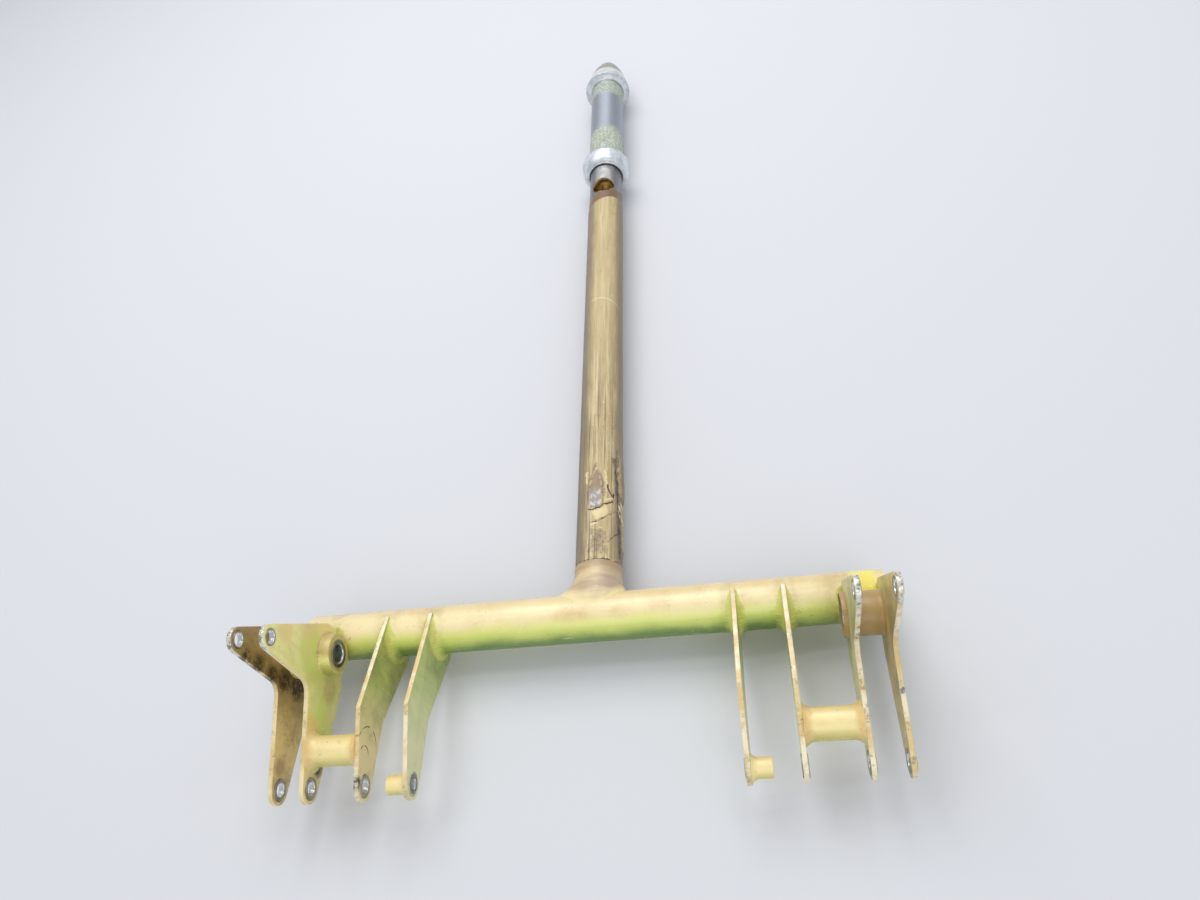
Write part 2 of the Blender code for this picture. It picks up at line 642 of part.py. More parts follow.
def make_lever_sleeve(weldment, wrap):
    """The thin worn sleeve on the lever, with its upper end cut on a slant across X."""
    bm = bmesh.new()
    rings = []
    slope = math.tan(SLEEVE_SLANT)
    edges = (
        (SLEEVE_INNER_RADIUS, SLEEVE_BOTTOM_Y, 0.0),
        (SLEEVE_RADIUS, SLEEVE_BOTTOM_Y, 0.0),
        (SLEEVE_RADIUS, SLEEVE_TOP_Y, slope),
        (SLEEVE_INNER_RADIUS, SLEEVE_TOP_Y, slope),
    )
    for radius, height, rise in edges:
        points = []
        for k in range(LARGE_FACETS):
            angle = 2 * math.pi * k / LARGE_FACETS
            x = radius * math.cos(angle)
            points.append(bm.verts.new((x, radius * math.sin(angle), height + rise * x)))
        rings.append(points)
    bridge_rings(bm, rings, closed=True)
    new_object("lever_sleeve", bm, (0.0, 0.0, 0.0), ALONG_Y, weldment, wrap)


def quarter(start, end, bulge_first, count=4):
    """Points of a quarter ellipse between two profile points, without the first.

    bulge_first leaves the start radially, and otherwise it leaves along the axis.
    """
    points = []
    for k in range(1, count + 1):
        angle = math.pi / 2 * k / count
        rise, run = (math.sin(angle), 1 - math.cos(angle))
        if not bulge_first:
            rise, run = run, rise
        radius = start[0] + (end[0] - start[0]) * rise
        points.append((radius, start[1] + (end[1] - start[1]) * run))
    return points


def grip_profile():
    """Profile of the grip: a beaded mouth, a plain hand length and a flange for the nose."""
    mouth_radius = GRIP_BORE_RADIUS + MOUTH_CHAMFER
    lip = mouth_radius + MOUTH_LIP
    bead_top = BEAD_FRONT + BEAD_LAND
    flare_start = GRIP_LENGTH - FLANGE_EDGE - FLANGE_FLARE
    flare_end = GRIP_LENGTH - FLANGE_EDGE
    spigot_bore = SPIGOT_RADIUS + WELD_GAP
    profile = [(GRIP_BORE_RADIUS, MOUTH_CHAMFER), (mouth_radius, 0.0), (lip, 0.0)]
    profile += quarter((lip, 0.0), (BEAD_RADIUS, BEAD_FRONT), bulge_first=True)
    profile.append((BEAD_RADIUS, bead_top))
    profile += quarter((BEAD_RADIUS, bead_top), (GRIP_RADIUS, bead_top + BEAD_BACK), bulge_first=True)
    profile.append((GRIP_RADIUS, flare_start))
    profile += quarter((GRIP_RADIUS, flare_start), (BEAD_RADIUS, flare_end), bulge_first=False)
    profile.append((BEAD_RADIUS, GRIP_LENGTH - FLANGE_CHAMFER))
    profile.append((BEAD_RADIUS - FLANGE_CHAMFER, GRIP_LENGTH))
    profile += [(spigot_bore, GRIP_LENGTH), (spigot_bore, GRIP_BORE_DEPTH)]
    profile.append((GRIP_BORE_RADIUS, GRIP_BORE_DEPTH))
    return profile


def nose_profile():
    """Profile of the nose: a spigot, a shoulder, a turned groove and a blunt curved point."""
    base = NOSE_BASE_Y - MOUTH_Y
    spigot = GRIP_BORE_DEPTH
    seat_end = spigot + ROD_SEAT_DEPTH

    def curve(along):
        share = (along / NOSE_LENGTH) ** NOSE_SHOULDER_POWER
        return NOSE_RADIUS * (1 - share) ** NOSE_POINT_POWER

    profile = [(0.0, seat_end), (ROD_CUT_RADIUS, seat_end), (ROD_CUT_RADIUS, spigot)]
    profile += [(SPIGOT_RADIUS, spigot), (SPIGOT_RADIUS, base)]
    half_groove = NOSE_GROOVE_DEPTH
    stations = [NOSE_LENGTH * share for share in (0.0, 0.1, 0.2)]
    for station in stations:
        profile.append((curve(station), base + station))
    groove = (
        (NOSE_GROOVE_PLACE - half_groove, 0.0),
        (NOSE_GROOVE_PLACE, NOSE_GROOVE_DEPTH),
        (NOSE_GROOVE_PLACE + half_groove, 0.0),
    )
    for station, depth in groove:
        profile.append((curve(station) - depth, base + station))
    count = 7
    first = NOSE_GROOVE_PLACE + half_groove
    for k in range(1, count):
        share = 1 - (1 - k / count) ** 2
        station = first + (NOSE_LENGTH - first) * share
        profile.append((curve(station), base + station))
    profile.append((0.0, base + NOSE_LENGTH))
    return profile


def make_grip(slide, metal, steel):
    """The grip, its nose and the rod that ties them to the stop below the plug."""
    grip = turned(grip_profile(), LARGE_FACETS)
    new_object("grip_body", grip, (0.0, 0.0, 0.0), ALONG_Y, slide, metal)
    nose = turned(nose_profile(), LARGE_FACETS)
    new_object("grip_nose", nose, (0.0, 0.0, 0.0), ALONG_Y, slide, metal)
    low = ROD_BOTTOM_Y - MOUTH_Y
    high = GRIP_BORE_DEPTH + ROD_SEAT_DEPTH - WELD_GAP
    rod = new_object("grip_rod", bar(ROD_RADIUS, low, high, SMALL_FACETS), (0.0, 0.0, 0.0),
                     ALONG_Y, slide, steel)
    hole = bar(PIN_RADIUS + WELD_GAP, -PIN_LENGTH, PIN_LENGTH, SPRING_FACETS)
    cutter = new_object("stop_pin_clearance", hole, (0.0, PIN_Y - MOUTH_Y, 0.0), ALONG_X, slide)
    boolean(rod, as_cutter(cutter))


def make_stop(slide, steel):
    """Washer, nut and cross pin on the rod, which stop the grip against the plug."""
    washer = ring(ROD_CUT_RADIUS, WASHER_RADIUS, 0.0, WASHER_THICKNESS, SMALL_FACETS)
    place = (0.0, WASHER_BOTTOM_Y - MOUTH_Y, 0.0)
    new_object("stop_washer", washer, place, ALONG_Y, slide, steel)
    place = (0.0, NUT_BOTTOM_Y - MOUTH_Y, 0.0)
    nut = bar(NUT_ACROSS_FLATS / math.sqrt(3), 0.0, NUT_THICKNESS, 6)
    nut = new_object("stop_nut", nut, place, ALONG_Y, slide, steel)
    hole = bar(ROD_CUT_RADIUS, -NUT_THICKNESS, 2 * NUT_THICKNESS, SMALL_FACETS)
    boolean(nut, as_cutter(new_object("nut_clearance", hole, place, ALONG_Y, slide)))
    pin = bar(PIN_RADIUS, -PIN_LENGTH / 2, PIN_LENGTH / 2, SPRING_FACETS)
    new_object("stop_pin", pin, (0.0, PIN_Y - MOUTH_Y, 0.0), ALONG_X, slide, steel)


def make_plug(weldment, brass, steel):
    """The brass plug that seats the spring in the lever tube, and its two rivets."""
    outer = LEVER_BORE_RADIUS - WELD_GAP
    bm = ring(ROD_CUT_RADIUS, outer, PLUG_BOTTOM_Y, PLUG_TOP_Y, LARGE_FACETS)
    plug = new_object("spring_plug", bm, (0.0, 0.0, 0.0), ALONG_Y, weldment, brass)
    inner_end = LEVER_RADIUS - LEVER_WALL - RIVET_DEPTH
    for side, way in (("left", -1), ("right", 1)):
        place = (0.0, RIVET_Y, 0.0)
        turn = (0.0, way * math.pi / 2, 0.0)
        hole = bar(RIVET_RADIUS + WELD_GAP, inner_end - WELD_GAP, 2 * LEVER_RADIUS, SPRING_FACETS)
        cutter = new_object(f"plug_rivet_clearance_{side}", hole, place, turn, weldment)
        boolean(plug, as_cutter(cutter))
        rivet = bar(RIVET_RADIUS, inner_end, LEVER_RADIUS, SPRING_FACETS)
        new_object(f"plug_rivet_{side}", rivet, place, turn, weldment, steel)


def make_spring(weldment, steel):
    """The return spring: a round wire wound between the plug and the nose, with closed ends."""
    low = PLUG_TOP_Y + WELD_GAP + SPRING_WIRE_RADIUS
    high = GRIP_SHOULDER_Y - WELD_GAP - SPRING_WIRE_RADIUS
    open_pitch = (high - low - 2 * SPRING_END_PITCH) / (SPRING_COILS - 2)
    bm = bmesh.new()
    sections = []
    for k in range(SPRING_COILS * SPRING_FACETS + 1):
        turns = k / SPRING_FACETS
        first = min(turns, 1.0) * SPRING_END_PITCH
        middle = min(max(turns - 1.0, 0.0), SPRING_COILS - 2) * open_pitch
        last = max(turns - (SPRING_COILS - 1), 0.0) * SPRING_END_PITCH
        height = low + first + middle + last
        angle = 2 * math.pi * turns
        section = []
        for j in range(WIRE_FACETS):
            around = 2 * math.pi * j / WIRE_FACETS
            radius = SPRING_RADIUS + SPRING_WIRE_RADIUS * math.cos(around)
            rise = SPRING_WIRE_RADIUS * math.sin(around)
            section.append(bm.verts.new((radius * math.cos(angle), radius * math.sin(angle),
                                         height + rise)))
        sections.append(section)
    bridge_rings(bm, sections)
    bm.faces.new(sections[0])
    bm.faces.new(sections[-1])
    new_object("return_spring", bm, (0.0, 0.0, 0.0), ALONG_Y, weldment, steel)


def build():
    """Build the whole lever."""
    clear_scene()
    cream = finish("aged_cream_paint", (0.80, 0.66, 0.36), 0.45, 0.0)
    primer = finish("yellow_green_primer", (0.46, 0.45, 0.12), 0.5, 0.0)
    steel = finish("bush_steel", (0.45, 0.45, 0.46), 0.3, 1.0)
    dark_steel = finish("lever_steel", (0.22, 0.22, 0.25), 0.4, 0.8)
    aluminium = finish("turned_aluminium", (0.62, 0.66, 0.72), 0.3, 1.0)
    wrap = finish("worn_wrap", (0.45, 0.36, 0.22), 0.6, 0.0)
    brass = finish("brass", (0.60, 0.45, 0.15), 0.35, 1.0)

    middle_x = (OBJECT_MIN_X + OBJECT_MAX_X) / 2
    middle_y = (OBJECT_MIN_Y + NOSE_TIP_Y) / 2
    weldment = new_empty("weldment", (-middle_x, -middle_y, -OBJECT_LOW_Z))
    slide = new_empty("grip_slide", (0.0, MOUTH_Y, 0.0), weldment)

    cutters = make_cutters(weldment)
    make_torque_tube(weldment, cream)
    make_plates(weldment, cutters, primer)
    make_pivots(weldment, cutters, cream, steel)
    make_bolt_bushes(weldment, steel)
    make_stub_bushes(weldment, cream)
    make_spacers(weldment, cream)
    make_lever_tube(weldment, cutters, dark_steel)
    make_lever_collar(weldment, cream)
    make_lever_sleeve(weldment, wrap)
    make_grip(slide, aluminium, steel)
    make_stop(slide, steel)
    make_plug(weldment, brass, steel)
    make_spring(weldment, steel)
    bpy.context.view_layer.update()


build()
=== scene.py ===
"""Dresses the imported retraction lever: fine shapes, finishes, a floor, soft lights and a camera.

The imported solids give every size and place. Each sub-assembly is a class that models its finer
pieces over its solids and puts a finish on everything that shows.
"""

import json
import logging
import math
from collections.abc import Callable, Iterable, Sequence
from dataclasses import dataclass
from enum import Enum

import bmesh
import bpy
from mathutils import Matrix, Vector, noise

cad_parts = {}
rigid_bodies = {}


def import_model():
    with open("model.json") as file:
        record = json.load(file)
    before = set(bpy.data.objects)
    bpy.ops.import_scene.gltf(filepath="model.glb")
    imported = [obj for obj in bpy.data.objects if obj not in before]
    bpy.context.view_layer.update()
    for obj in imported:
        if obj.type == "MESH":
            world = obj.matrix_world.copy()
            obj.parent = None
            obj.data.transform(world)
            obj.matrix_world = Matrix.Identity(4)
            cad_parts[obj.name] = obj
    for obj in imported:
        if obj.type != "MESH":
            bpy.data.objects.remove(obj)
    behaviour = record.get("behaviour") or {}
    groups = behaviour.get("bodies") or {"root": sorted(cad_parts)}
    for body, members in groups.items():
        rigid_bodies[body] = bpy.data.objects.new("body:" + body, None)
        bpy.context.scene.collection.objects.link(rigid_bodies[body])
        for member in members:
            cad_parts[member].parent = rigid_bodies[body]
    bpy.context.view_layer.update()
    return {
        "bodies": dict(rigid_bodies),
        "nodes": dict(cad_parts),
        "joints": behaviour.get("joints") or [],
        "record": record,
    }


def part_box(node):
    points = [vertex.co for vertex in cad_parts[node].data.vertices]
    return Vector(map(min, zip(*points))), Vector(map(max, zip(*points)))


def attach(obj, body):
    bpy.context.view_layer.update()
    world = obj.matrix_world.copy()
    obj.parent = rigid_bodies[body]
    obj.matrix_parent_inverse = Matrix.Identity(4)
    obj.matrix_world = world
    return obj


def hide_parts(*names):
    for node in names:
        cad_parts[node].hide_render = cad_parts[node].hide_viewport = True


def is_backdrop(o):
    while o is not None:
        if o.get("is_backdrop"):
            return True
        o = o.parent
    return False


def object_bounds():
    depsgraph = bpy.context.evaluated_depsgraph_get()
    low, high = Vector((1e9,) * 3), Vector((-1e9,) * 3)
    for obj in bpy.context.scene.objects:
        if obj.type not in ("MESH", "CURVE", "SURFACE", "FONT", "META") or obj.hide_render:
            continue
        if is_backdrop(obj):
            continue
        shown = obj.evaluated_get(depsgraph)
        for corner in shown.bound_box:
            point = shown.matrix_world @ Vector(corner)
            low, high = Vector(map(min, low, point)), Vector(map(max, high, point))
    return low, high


LOG = logging.getLogger("retraction_lever")
MM = 0.001
WELDMENT = "weldment"
GRIP = "grip"

Point = tuple[float, float]
Socket = bpy.types.NodeSocket

SIDES = ("left", "right")
TUBE_RADIUS = 12.7 * MM
PLATE_THICKNESS = 2.4 * MM
GRIP_MOUTH = 382.5 * MM

# Centres in the side view, across and up from the datum.
TIP: Point = (-83.3 * MM, 7.0 * MM)
HORN: Point = (-31.8 * MM, 71.2 * MM)
PIVOT: Point = (-17.88 * MM, 18.32 * MM)
SPACER: Point = (-66.8 * MM, 11.9 * MM)


class Axis(Enum):
    """The two directions that round pieces of the lever are turned about."""

    X = (1.0, 0.0, 0.0)
    Y = (0.0, 1.0, 0.0)

    def place(self, centre: Vector, radius: float, along: float) -> Vector:
        """A point straight above the axis line, at a radius from it and a place along it.

        Args:
            centre: A point on the axis.
            radius: How far above the axis the point stands.
            along: The point's place along the axis.

        Returns:
            The point.
        """
        if self is Axis.X:
            return Vector((along, centre.y, centre.z + radius))
        return Vector((centre.x, along, centre.z + radius))

    def along(self, point: Vector) -> float:
        """How far along the axis a point lies."""
        return point.x if self is Axis.X else point.y


@dataclass(frozen=True)
class Shade:
    """A colour as it looks on a screen, each channel from 0 to 255."""

    red: int
    green: int
    blue: int

    def linear(self) -> tuple[float, float, float, float]:
        """The same colour in the linear values that shaders take.

        Returns:
            Red, green, blue and an alpha of 1.
        """
        channels = []
        for value in (self.red, self.green, self.blue):
            share = value / 255
            low = share / 12.92
            high = ((share + 0.055) / 1.055) ** 2.4
            channels.append(low if share <= 0.04045 else high)
        return (channels[0], channels[1], channels[2], 1.0)


@dataclass(frozen=True)
class Datum:
    """Where the torque tube's axis meets the lever's axis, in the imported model."""

    x: float
    y: float
    z: float

    @classmethod
    def read(cls) -> "Datum":
        """Take the datum from the boxes of the two tubes.

        Returns:
            The datum, where the lever's line meets the torque tube's.
        """
        low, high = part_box("lever_tube")
        tube_low, tube_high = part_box("torque_tube")
        middle = (tube_low + tube_high) / 2
        return cls((low.x + high.x) / 2, middle.y, middle.z)

    def at(self, x: float, y: float, z: float) -> Vector:
        """A point given from the datum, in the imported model's frame."""
        return Vector((self.x + x, self.y + y, self.z + z))


class Graph:
    """Lays out the nodes of one material."""

    def __init__(self, name: str) -> None:
        """Start a material with a Principled shader and the piece's own coordinates.

        Args:
            name: The material's name.
        """
        self.material = bpy.data.materials.new(name)
        self.material.use_nodes = True
        self.tree = self.material.node_tree
        self.shader = self.tree.nodes["Principled BSDF"]
        texture = self.add("ShaderNodeTexCoord")
        self.coords = texture.outputs["Object"]
        self.normal = texture.outputs["Normal"]
        split = self.add("ShaderNodeSeparateXYZ")
        self.join(self.coords, split.inputs[0])
        self.x, self.y, self.z = split.outputs

    def add(self, kind: str, **settings: object) -> bpy.types.Node:
        """Add a node and set its own options.

        Args:
            kind: The node's type.
            settings: The node's own options and their values.

        Returns:
            The node.
        """
        node = self.tree.nodes.new(kind)
        for key, value in settings.items():
            setattr(node, key, value)
        return node

    def join(self, source: Socket | float | Shade, target: Socket) -> None:
        """Feed an input from a socket, a number or a colour.

        Args:
            source: What the input takes.
            target: The input.
        """
        if isinstance(source, Shade):
            target.default_value = source.linear()
        elif isinstance(source, (int, float)):
            target.default_value = source
        else:
            self.tree.links.new(source, target)

    def clouds(
        self, scale: float | tuple[float, float, float], detail: float = 3.0,
        roughness: float = 0.55, distortion: float = 0.0,
    ) -> Socket:
        """Soft noise from 0 to 1.

        Args:
            scale: Features per metre, for all three axes or for each.
            detail: How many finer layers are added.
            roughness: How strong the finer layers are.
            distortion: How far the pattern is swirled.

        Returns:
            The noise as a single value.
        """
        stretch = self.add("ShaderNodeMapping")
        each = scale if isinstance(scale, tuple) else (scale, scale, scale)
        stretch.inputs["Scale"].default_value = each
        self.join(self.coords, stretch.inputs["Vector"])
        node = self.add("ShaderNodeTexNoise")
        self.join(stretch.outputs["Vector"], node.inputs["Vector"])
        values = (1.0, detail, roughness, distortion)
        for key, value in zip(("Scale", "Detail", "Roughness", "Distortion"), values):
            node.inputs[key].default_value = value
        return node.outputs["Fac"]

    def calc(self, kind: str, first: Socket | float, second: Socket | float = 0.0) -> Socket:
        """One step of arithmetic.

        Args:
            kind: The operation.
            first: The first value.
            second: The second value.

        Returns:
            The result.
        """
        node = self.add("ShaderNodeMath", operation=kind)
        self.join(first, node.inputs[0])
        self.join(second, node.inputs[1])
        return node.outputs[0]

    def both(self, first: Socket | float, second: Socket | float) -> Socket:
        """The product of two shares."""
        return self.calc("MULTIPLY", first, second)

    def plus(self, first: Socket | float, second: Socket | float) -> Socket:
        """The sum of two values."""
        return self.calc("ADD", first, second)

    def less(self, first: Socket | float, second: Socket | float) -> Socket:
        """The first value less the second."""
        return self.calc("SUBTRACT", first, second)

    def most(self, first: Socket | float, second: Socket | float) -> Socket:
        """The greater of two values."""
        return self.calc("MAXIMUM", first, second)

    def unsigned(self, value: Socket) -> Socket:
        """A value without its sign."""
        return self.calc("ABSOLUTE", value)

    def wander(self, scale: float, reach: float) -> Socket:
        """Noise centred on 0, to make a straight boundary stray by up to about half its reach."""
        return self.both(self.less(self.clouds(scale, 4, 0.6), 0.5), reach)

    def step(self, value: Socket, low: float, high: float, top: float = 1.0) -> Socket:
        """Rise smoothly from 0 to top as the value goes from low to high, or fall if high is less.

        Args:
            value: The value that is followed.
            low: Where the rise starts.
            high: Where the rise ends.
            top: The height of the rise.

        Returns:
            The share, from 0 to top.
        """
        node = self.add("ShaderNodeMapRange", interpolation_type="SMOOTHSTEP")
        self.join(value, node.inputs["Value"])
        ends = (low, high, 0.0, top) if low < high else (high, low, top, 0.0)
        for key, end in zip(("From Min", "From Max", "To Min", "To Max"), ends):
            node.inputs[key].default_value = end
        return node.outputs["Result"]

    def band(self, value: Socket, low: float, high: float, soft: float) -> Socket:
        """1 between two places and 0 outside them, with soft ends."""
        return self.both(self.step(value, low - soft, low + soft),
                         self.step(value, high + soft, high - soft))

    def mix(self, share: Socket | float, first: Socket | Shade, second: Socket | Shade) -> Socket:
        """Mix two colours by a share from 0 to 1.

        Args:
            share: How much of the second colour shows.
            first: The colour at 0.
            second: The colour at 1.

        Returns:
            The mixed colour.
        """
        node = self.add("ShaderNodeMix", data_type="RGBA")
        self.join(share, node.inputs["Factor"])
        self.join(first, node.inputs[6])
        self.join(second, node.inputs[7])
        return node.outputs[2]

    def facing(self, direction: tuple[float, float, float]) -> Socket:
        """How far the surface faces a direction, from -1 to 1.

        Args:
            direction: The direction that is looked along.

        Returns:
            1 where the surface faces that way, -1 where it faces the other way.
        """
        node = self.add("ShaderNodeVectorMath", operation="DOT_PRODUCT")
        self.join(self.normal, node.inputs[0])
        node.inputs[1].default_value = Vector(direction).normalized()
        return node.outputs["Value"]

    def distance(self, y: float, z: float) -> Socket:
        """How far the surface lies from a line along X.

        Args:
            y: The line's place on Y.
            z: The line's place on Z.

        Returns:
            The distance in metres.
        """
        across = self.less(self.y, y)
        up = self.less(self.z, z)
        return self.calc("SQRT", self.plus(self.both(across, across), self.both(up, up)))

    def edges(self, radius: float) -> Socket:
        """Where the surface turns sharply, from 0 on flats to 1 on edges.

        Args:
            radius: How far from an edge it is still felt.

        Returns:
            The share, from 0 to 1.
        """
        bevel = self.add("ShaderNodeBevel", samples=6)
        bevel.inputs["Radius"].default_value = radius
        node = self.add("ShaderNodeVectorMath", operation="DOT_PRODUCT")
        self.join(bevel.outputs["Normal"], node.inputs[0])
        self.join(self.add("ShaderNodeNewGeometry").outputs["Normal"], node.inputs[1])
        return self.step(node.outputs["Value"], 0.995, 0.86)

    def bump(self, height: Socket, strength: float, depth: float) -> None:
        """Roughen the shaded surface by a height from 0 to 1 over a depth in metres.

        Args:
            height: The height, from 0 to 1.
            strength: How strongly it shades.
            depth: The depth that a height of 1 stands for.
        """
        node = self.add("ShaderNodeBump")
        node.inputs["Strength"].default_value = strength
        node.inputs["Distance"].default_value = depth
        self.join(height, node.inputs["Height"])
        self.join(node.outputs["Normal"], self.shader.inputs["Normal"])

    def surface(
        self, colour: Socket | Shade, roughness: Socket | float, metallic: Socket | float = 0.0,
    ) -> bpy.types.Material:
        """Connect the shader and hand the material over.

        Args:
            colour: The base colour.
            roughness: The roughness, from 0 to 1.
            metallic: How metallic the surface is, from 0 to 1.

        Returns:
            The material.
        """
        self.join(colour, self.shader.inputs["Base Color"])
        self.join(roughness, self.shader.inputs["Roughness"])
        self.join(metallic, self.shader.inputs["Metallic"])
        return self.material


class Undercoat(Enum):
    """Where the green primer shows through the cream paint."""

    NOWHERE = "nowhere"
    LOWER_FRONT = "lower front"
    PLATE_FACES = "plate faces"


@dataclass(frozen=True)
class Spot:
    """A round place about a line along X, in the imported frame."""

    y: float
    z: float
    reach: float
    width: float = 0.5 * MM
    half: bool = False


@dataclass(frozen=True)
class AgedPaint:
    """Cream paint over green primer, stained with age and chipped to metal along its edges."""

    name: str
    cream: Shade = Shade(240, 222, 172)
    tan: Shade = Shade(216, 188, 134)
    rim: Shade = Shade(243, 232, 198)
    primer: Shade = Shade(176, 186, 98)
    primer_light: Shade = Shade(240, 238, 150)
    # The deep primer tone; on a tube's underside it also stands for painted shade.
    deep_primer_and_shade: Shade = Shade(128, 140, 78)
    stain: Shade = Shade(138, 108, 66)
    stain_cover: float = 0.3
    undercoat: Undercoat = Undercoat.NOWHERE
    chips: float = 0.5
    bare_rims: tuple[Spot, ...] = ()
    # Dark spots, partly grime and partly painted shadow.
    grime_and_shadow: tuple[Spot, ...] = ()
    rings: tuple[Spot, ...] = ()
    patches: tuple[tuple[Spot, Shade], ...] = ()
    top_tints: tuple[tuple[float, float, Shade], ...] = ()
    # Places along X where the tube turns darker and olive beside a plate.
    dark_bands_at: tuple[float, ...] = ()
    gloss: float = 0.24

    def colour(self, graph: Graph) -> Socket:
        """The paint's colours before stains and chips, with painted shade on a tube's underside.

        Args:
            graph: The material's nodes.

        Returns:
            The colour.
        """
        broad = graph.clouds(28, 4, 0.6)
        cream = graph.mix(graph.step(broad, 0.46, 0.76), self.cream, self.tan)
        fine = graph.step(graph.clouds(240, 4, 0.65), 0.55, 0.85, 0.35)
        cream = graph.mix(fine, cream, self.tan)
        if self.undercoat is Undercoat.NOWHERE:
            return cream
        if self.undercoat is Undercoat.LOWER_FRONT:
            green = graph.mix(graph.step(fine, 0.1, 0.3, 0.3), self.primer, self.tan)
            # On a tube the colour follows where the surface faces: darker tan towards the top-back,
            # yellow then green primer down the front, and a deep band on the underside that is
            # partly painted shade.
            reach = graph.plus(graph.facing((0.0, -0.93, -0.36)), graph.wander(32, 0.55))
            cream = graph.mix(graph.step(reach, -0.5, -0.95, 0.6), cream, self.tan)
            yellow = graph.mix(graph.step(reach, -0.1, 0.38), cream, self.primer_light)
            green = graph.mix(graph.step(reach, 0.26, 0.66), yellow, green)
            return graph.mix(graph.step(reach, 0.52, 0.94), green, self.deep_primer_and_shade)
        brushed = graph.clouds((60.0, 260.0, 34.0), 5, 0.7, 0.5)
        green = graph.mix(graph.step(broad, 0.4, 0.62), self.primer, self.deep_primer_and_shade)
        green = graph.mix(graph.step(brushed, 0.5, 0.66, 0.55), green, self.tan)
        green = graph.mix(graph.step(brushed, 0.46, 0.34, 0.6), green, self.deep_primer_and_shade)
        for spot, shade in self.patches:
            stray = graph.wander(60, 0.65 * spot.reach)
            place = graph.plus(graph.distance(spot.y, spot.z), stray)
            rubbed = graph.step(graph.clouds(75, 5, 0.68), 0.44, 0.66, 0.8)
            worn = graph.mix(rubbed, shade, self.tan)
            green = graph.mix(graph.step(place, spot.reach, 0.35 * spot.reach, 0.85), green, worn)
        turned = graph.unsigned(graph.facing((1.0, 0.0, 0.0)))
        rim = graph.mix(graph.step(graph.clouds(45, 4, 0.65), 0.42, 0.6), self.rim,
                        Shade(224, 196, 136))
        reach = graph.plus(turned, graph.wander(60, 0.3))
        return graph.mix(graph.step(reach, 0.55, 0.85), rim, green)

    def soiled(self, graph: Graph, colour: Socket, ragged: Socket) -> Socket:
        """The colours with stains, tints on top, darker bands by the plates, specks, scratches,
        grime and dark rings added. The tube end's yellow tint is partly a painted pool of light,
        and the grime partly painted shadow.

        Args:
            graph: The material's nodes.
            colour: The clean paint's colour.
            ragged: Noise that breaks up the edges of the marks.

        Returns:
            The colour.
        """
        blots = graph.step(graph.clouds(70, 6, 0.7, 0.6), 0.62 - 0.2 * self.stain_cover, 0.8,
                           0.35 + self.stain_cover)
        colour = graph.mix(blots, colour, self.stain)
        # Tints on upward-facing surfaces between two places along X; the tube end's yellow is
        # partly a painted pool of light.
        for low, high, shade in self.top_tints:
            place = graph.plus(graph.x, graph.wander(140, 5 * MM))
            on_top = graph.step(graph.facing((0.0, -0.2, 1.0)), 0.15, 0.5)
            patch = graph.both(graph.band(place, low, high, 2 * MM), on_top)
            colour = graph.mix(graph.both(patch, 0.8), colour, shade)
        # Darker olive bands on the tube beside each plate.
        for place in self.dark_bands_at:
            away = graph.unsigned(graph.less(graph.x, place))
            away = graph.plus(away, graph.wander(330, 8 * MM))
            near = graph.both(graph.step(away, 9 * MM, 4 * MM, 0.25),
                              graph.step(graph.clouds(60, 4, 0.7), 0.42, 0.62))
            colour = graph.mix(near, colour, Shade(156, 138, 80))
        if self.undercoat is Undercoat.PLATE_FACES:
            rim = graph.step(graph.unsigned(graph.facing((1.0, 0.0, 0.0))), 0.7, 0.3)
            soil = graph.step(graph.clouds(130, 5, 0.78, 0.3), 0.54, 0.64, 0.2 + 0.5 * self.chips)
            colour = graph.mix(graph.both(rim, soil), colour, Shade(128, 118, 84))
        specks = graph.step(graph.clouds(900, 2, 0.5), 0.7, 0.78, 0.55)
        colour = graph.mix(specks, colour, Shade(92, 74, 48))
        scratches = graph.step(graph.clouds((60.0, 520.0, 520.0), 3, 0.6, 0.2), 0.66, 0.74, 0.35)
        colour = graph.mix(scratches, colour, Shade(252, 244, 220))
        # Dark spots, partly grime and partly painted shadow, as where the inner bellcrank shades
        # the outer one down its crook.
        for spot in self.grime_and_shadow:
            patch = graph.step(graph.distance(spot.y, spot.z), spot.reach * 1.5, spot.reach * 0.5)
            patch = graph.both(patch, graph.step(ragged, 0.3, 0.55))
            colour = graph.mix(patch, colour, Shade(66, 48, 32))
        for spot in self.rings:
            away = graph.less(graph.distance(spot.y, spot.z), spot.reach)
            line = graph.step(graph.unsigned(away), spot.width, spot.width * 0.3)
            line = graph.both(line, graph.step(graph.clouds(190, 4, 0.65), 0.42, 0.56, 0.9))
            if spot.half:
                line = graph.both(line, graph.step(graph.y, spot.y, spot.y + 0.7 * spot.reach))
            colour = graph.mix(line, colour, Shade(62, 54, 48))
        return colour

    def chipped(self, graph: Graph, ragged: Socket) -> Socket:
        """Where bare metal shows: along edges, in nicks and round the worn ends.

        Args:
            graph: The material's nodes.
            ragged: Noise that breaks up the edges of the chips.

        Returns:
            The share of bare metal, from 0 to 1.
        """
        bare = graph.both(graph.edges(0.7 * MM),
                          graph.step(ragged, 0.66 - 0.3 * self.chips, 0.72 - 0.2 * self.chips))
        rim = graph.step(graph.unsigned(graph.facing((1.0, 0.0, 0.0))), 0.8, 0.4)
        scuffs = graph.both(rim, graph.step(graph.clouds(110, 5, 0.75), 0.66 - 0.1 * self.chips,
                                            0.72 - 0.1 * self.chips))
        bare = graph.most(bare, scuffs)
        for spot in self.bare_rims:
            worn = graph.step(graph.distance(spot.y, spot.z), spot.reach * 1.25, spot.reach * 0.9)
            worn = graph.both(graph.both(rim, worn), graph.step(ragged, 0.34, 0.44))
            bare = graph.most(bare, worn)
        nicks = graph.step(graph.clouds(330, 5, 0.75, 0.4), 0.74, 0.78)
        return graph.most(bare, nicks)

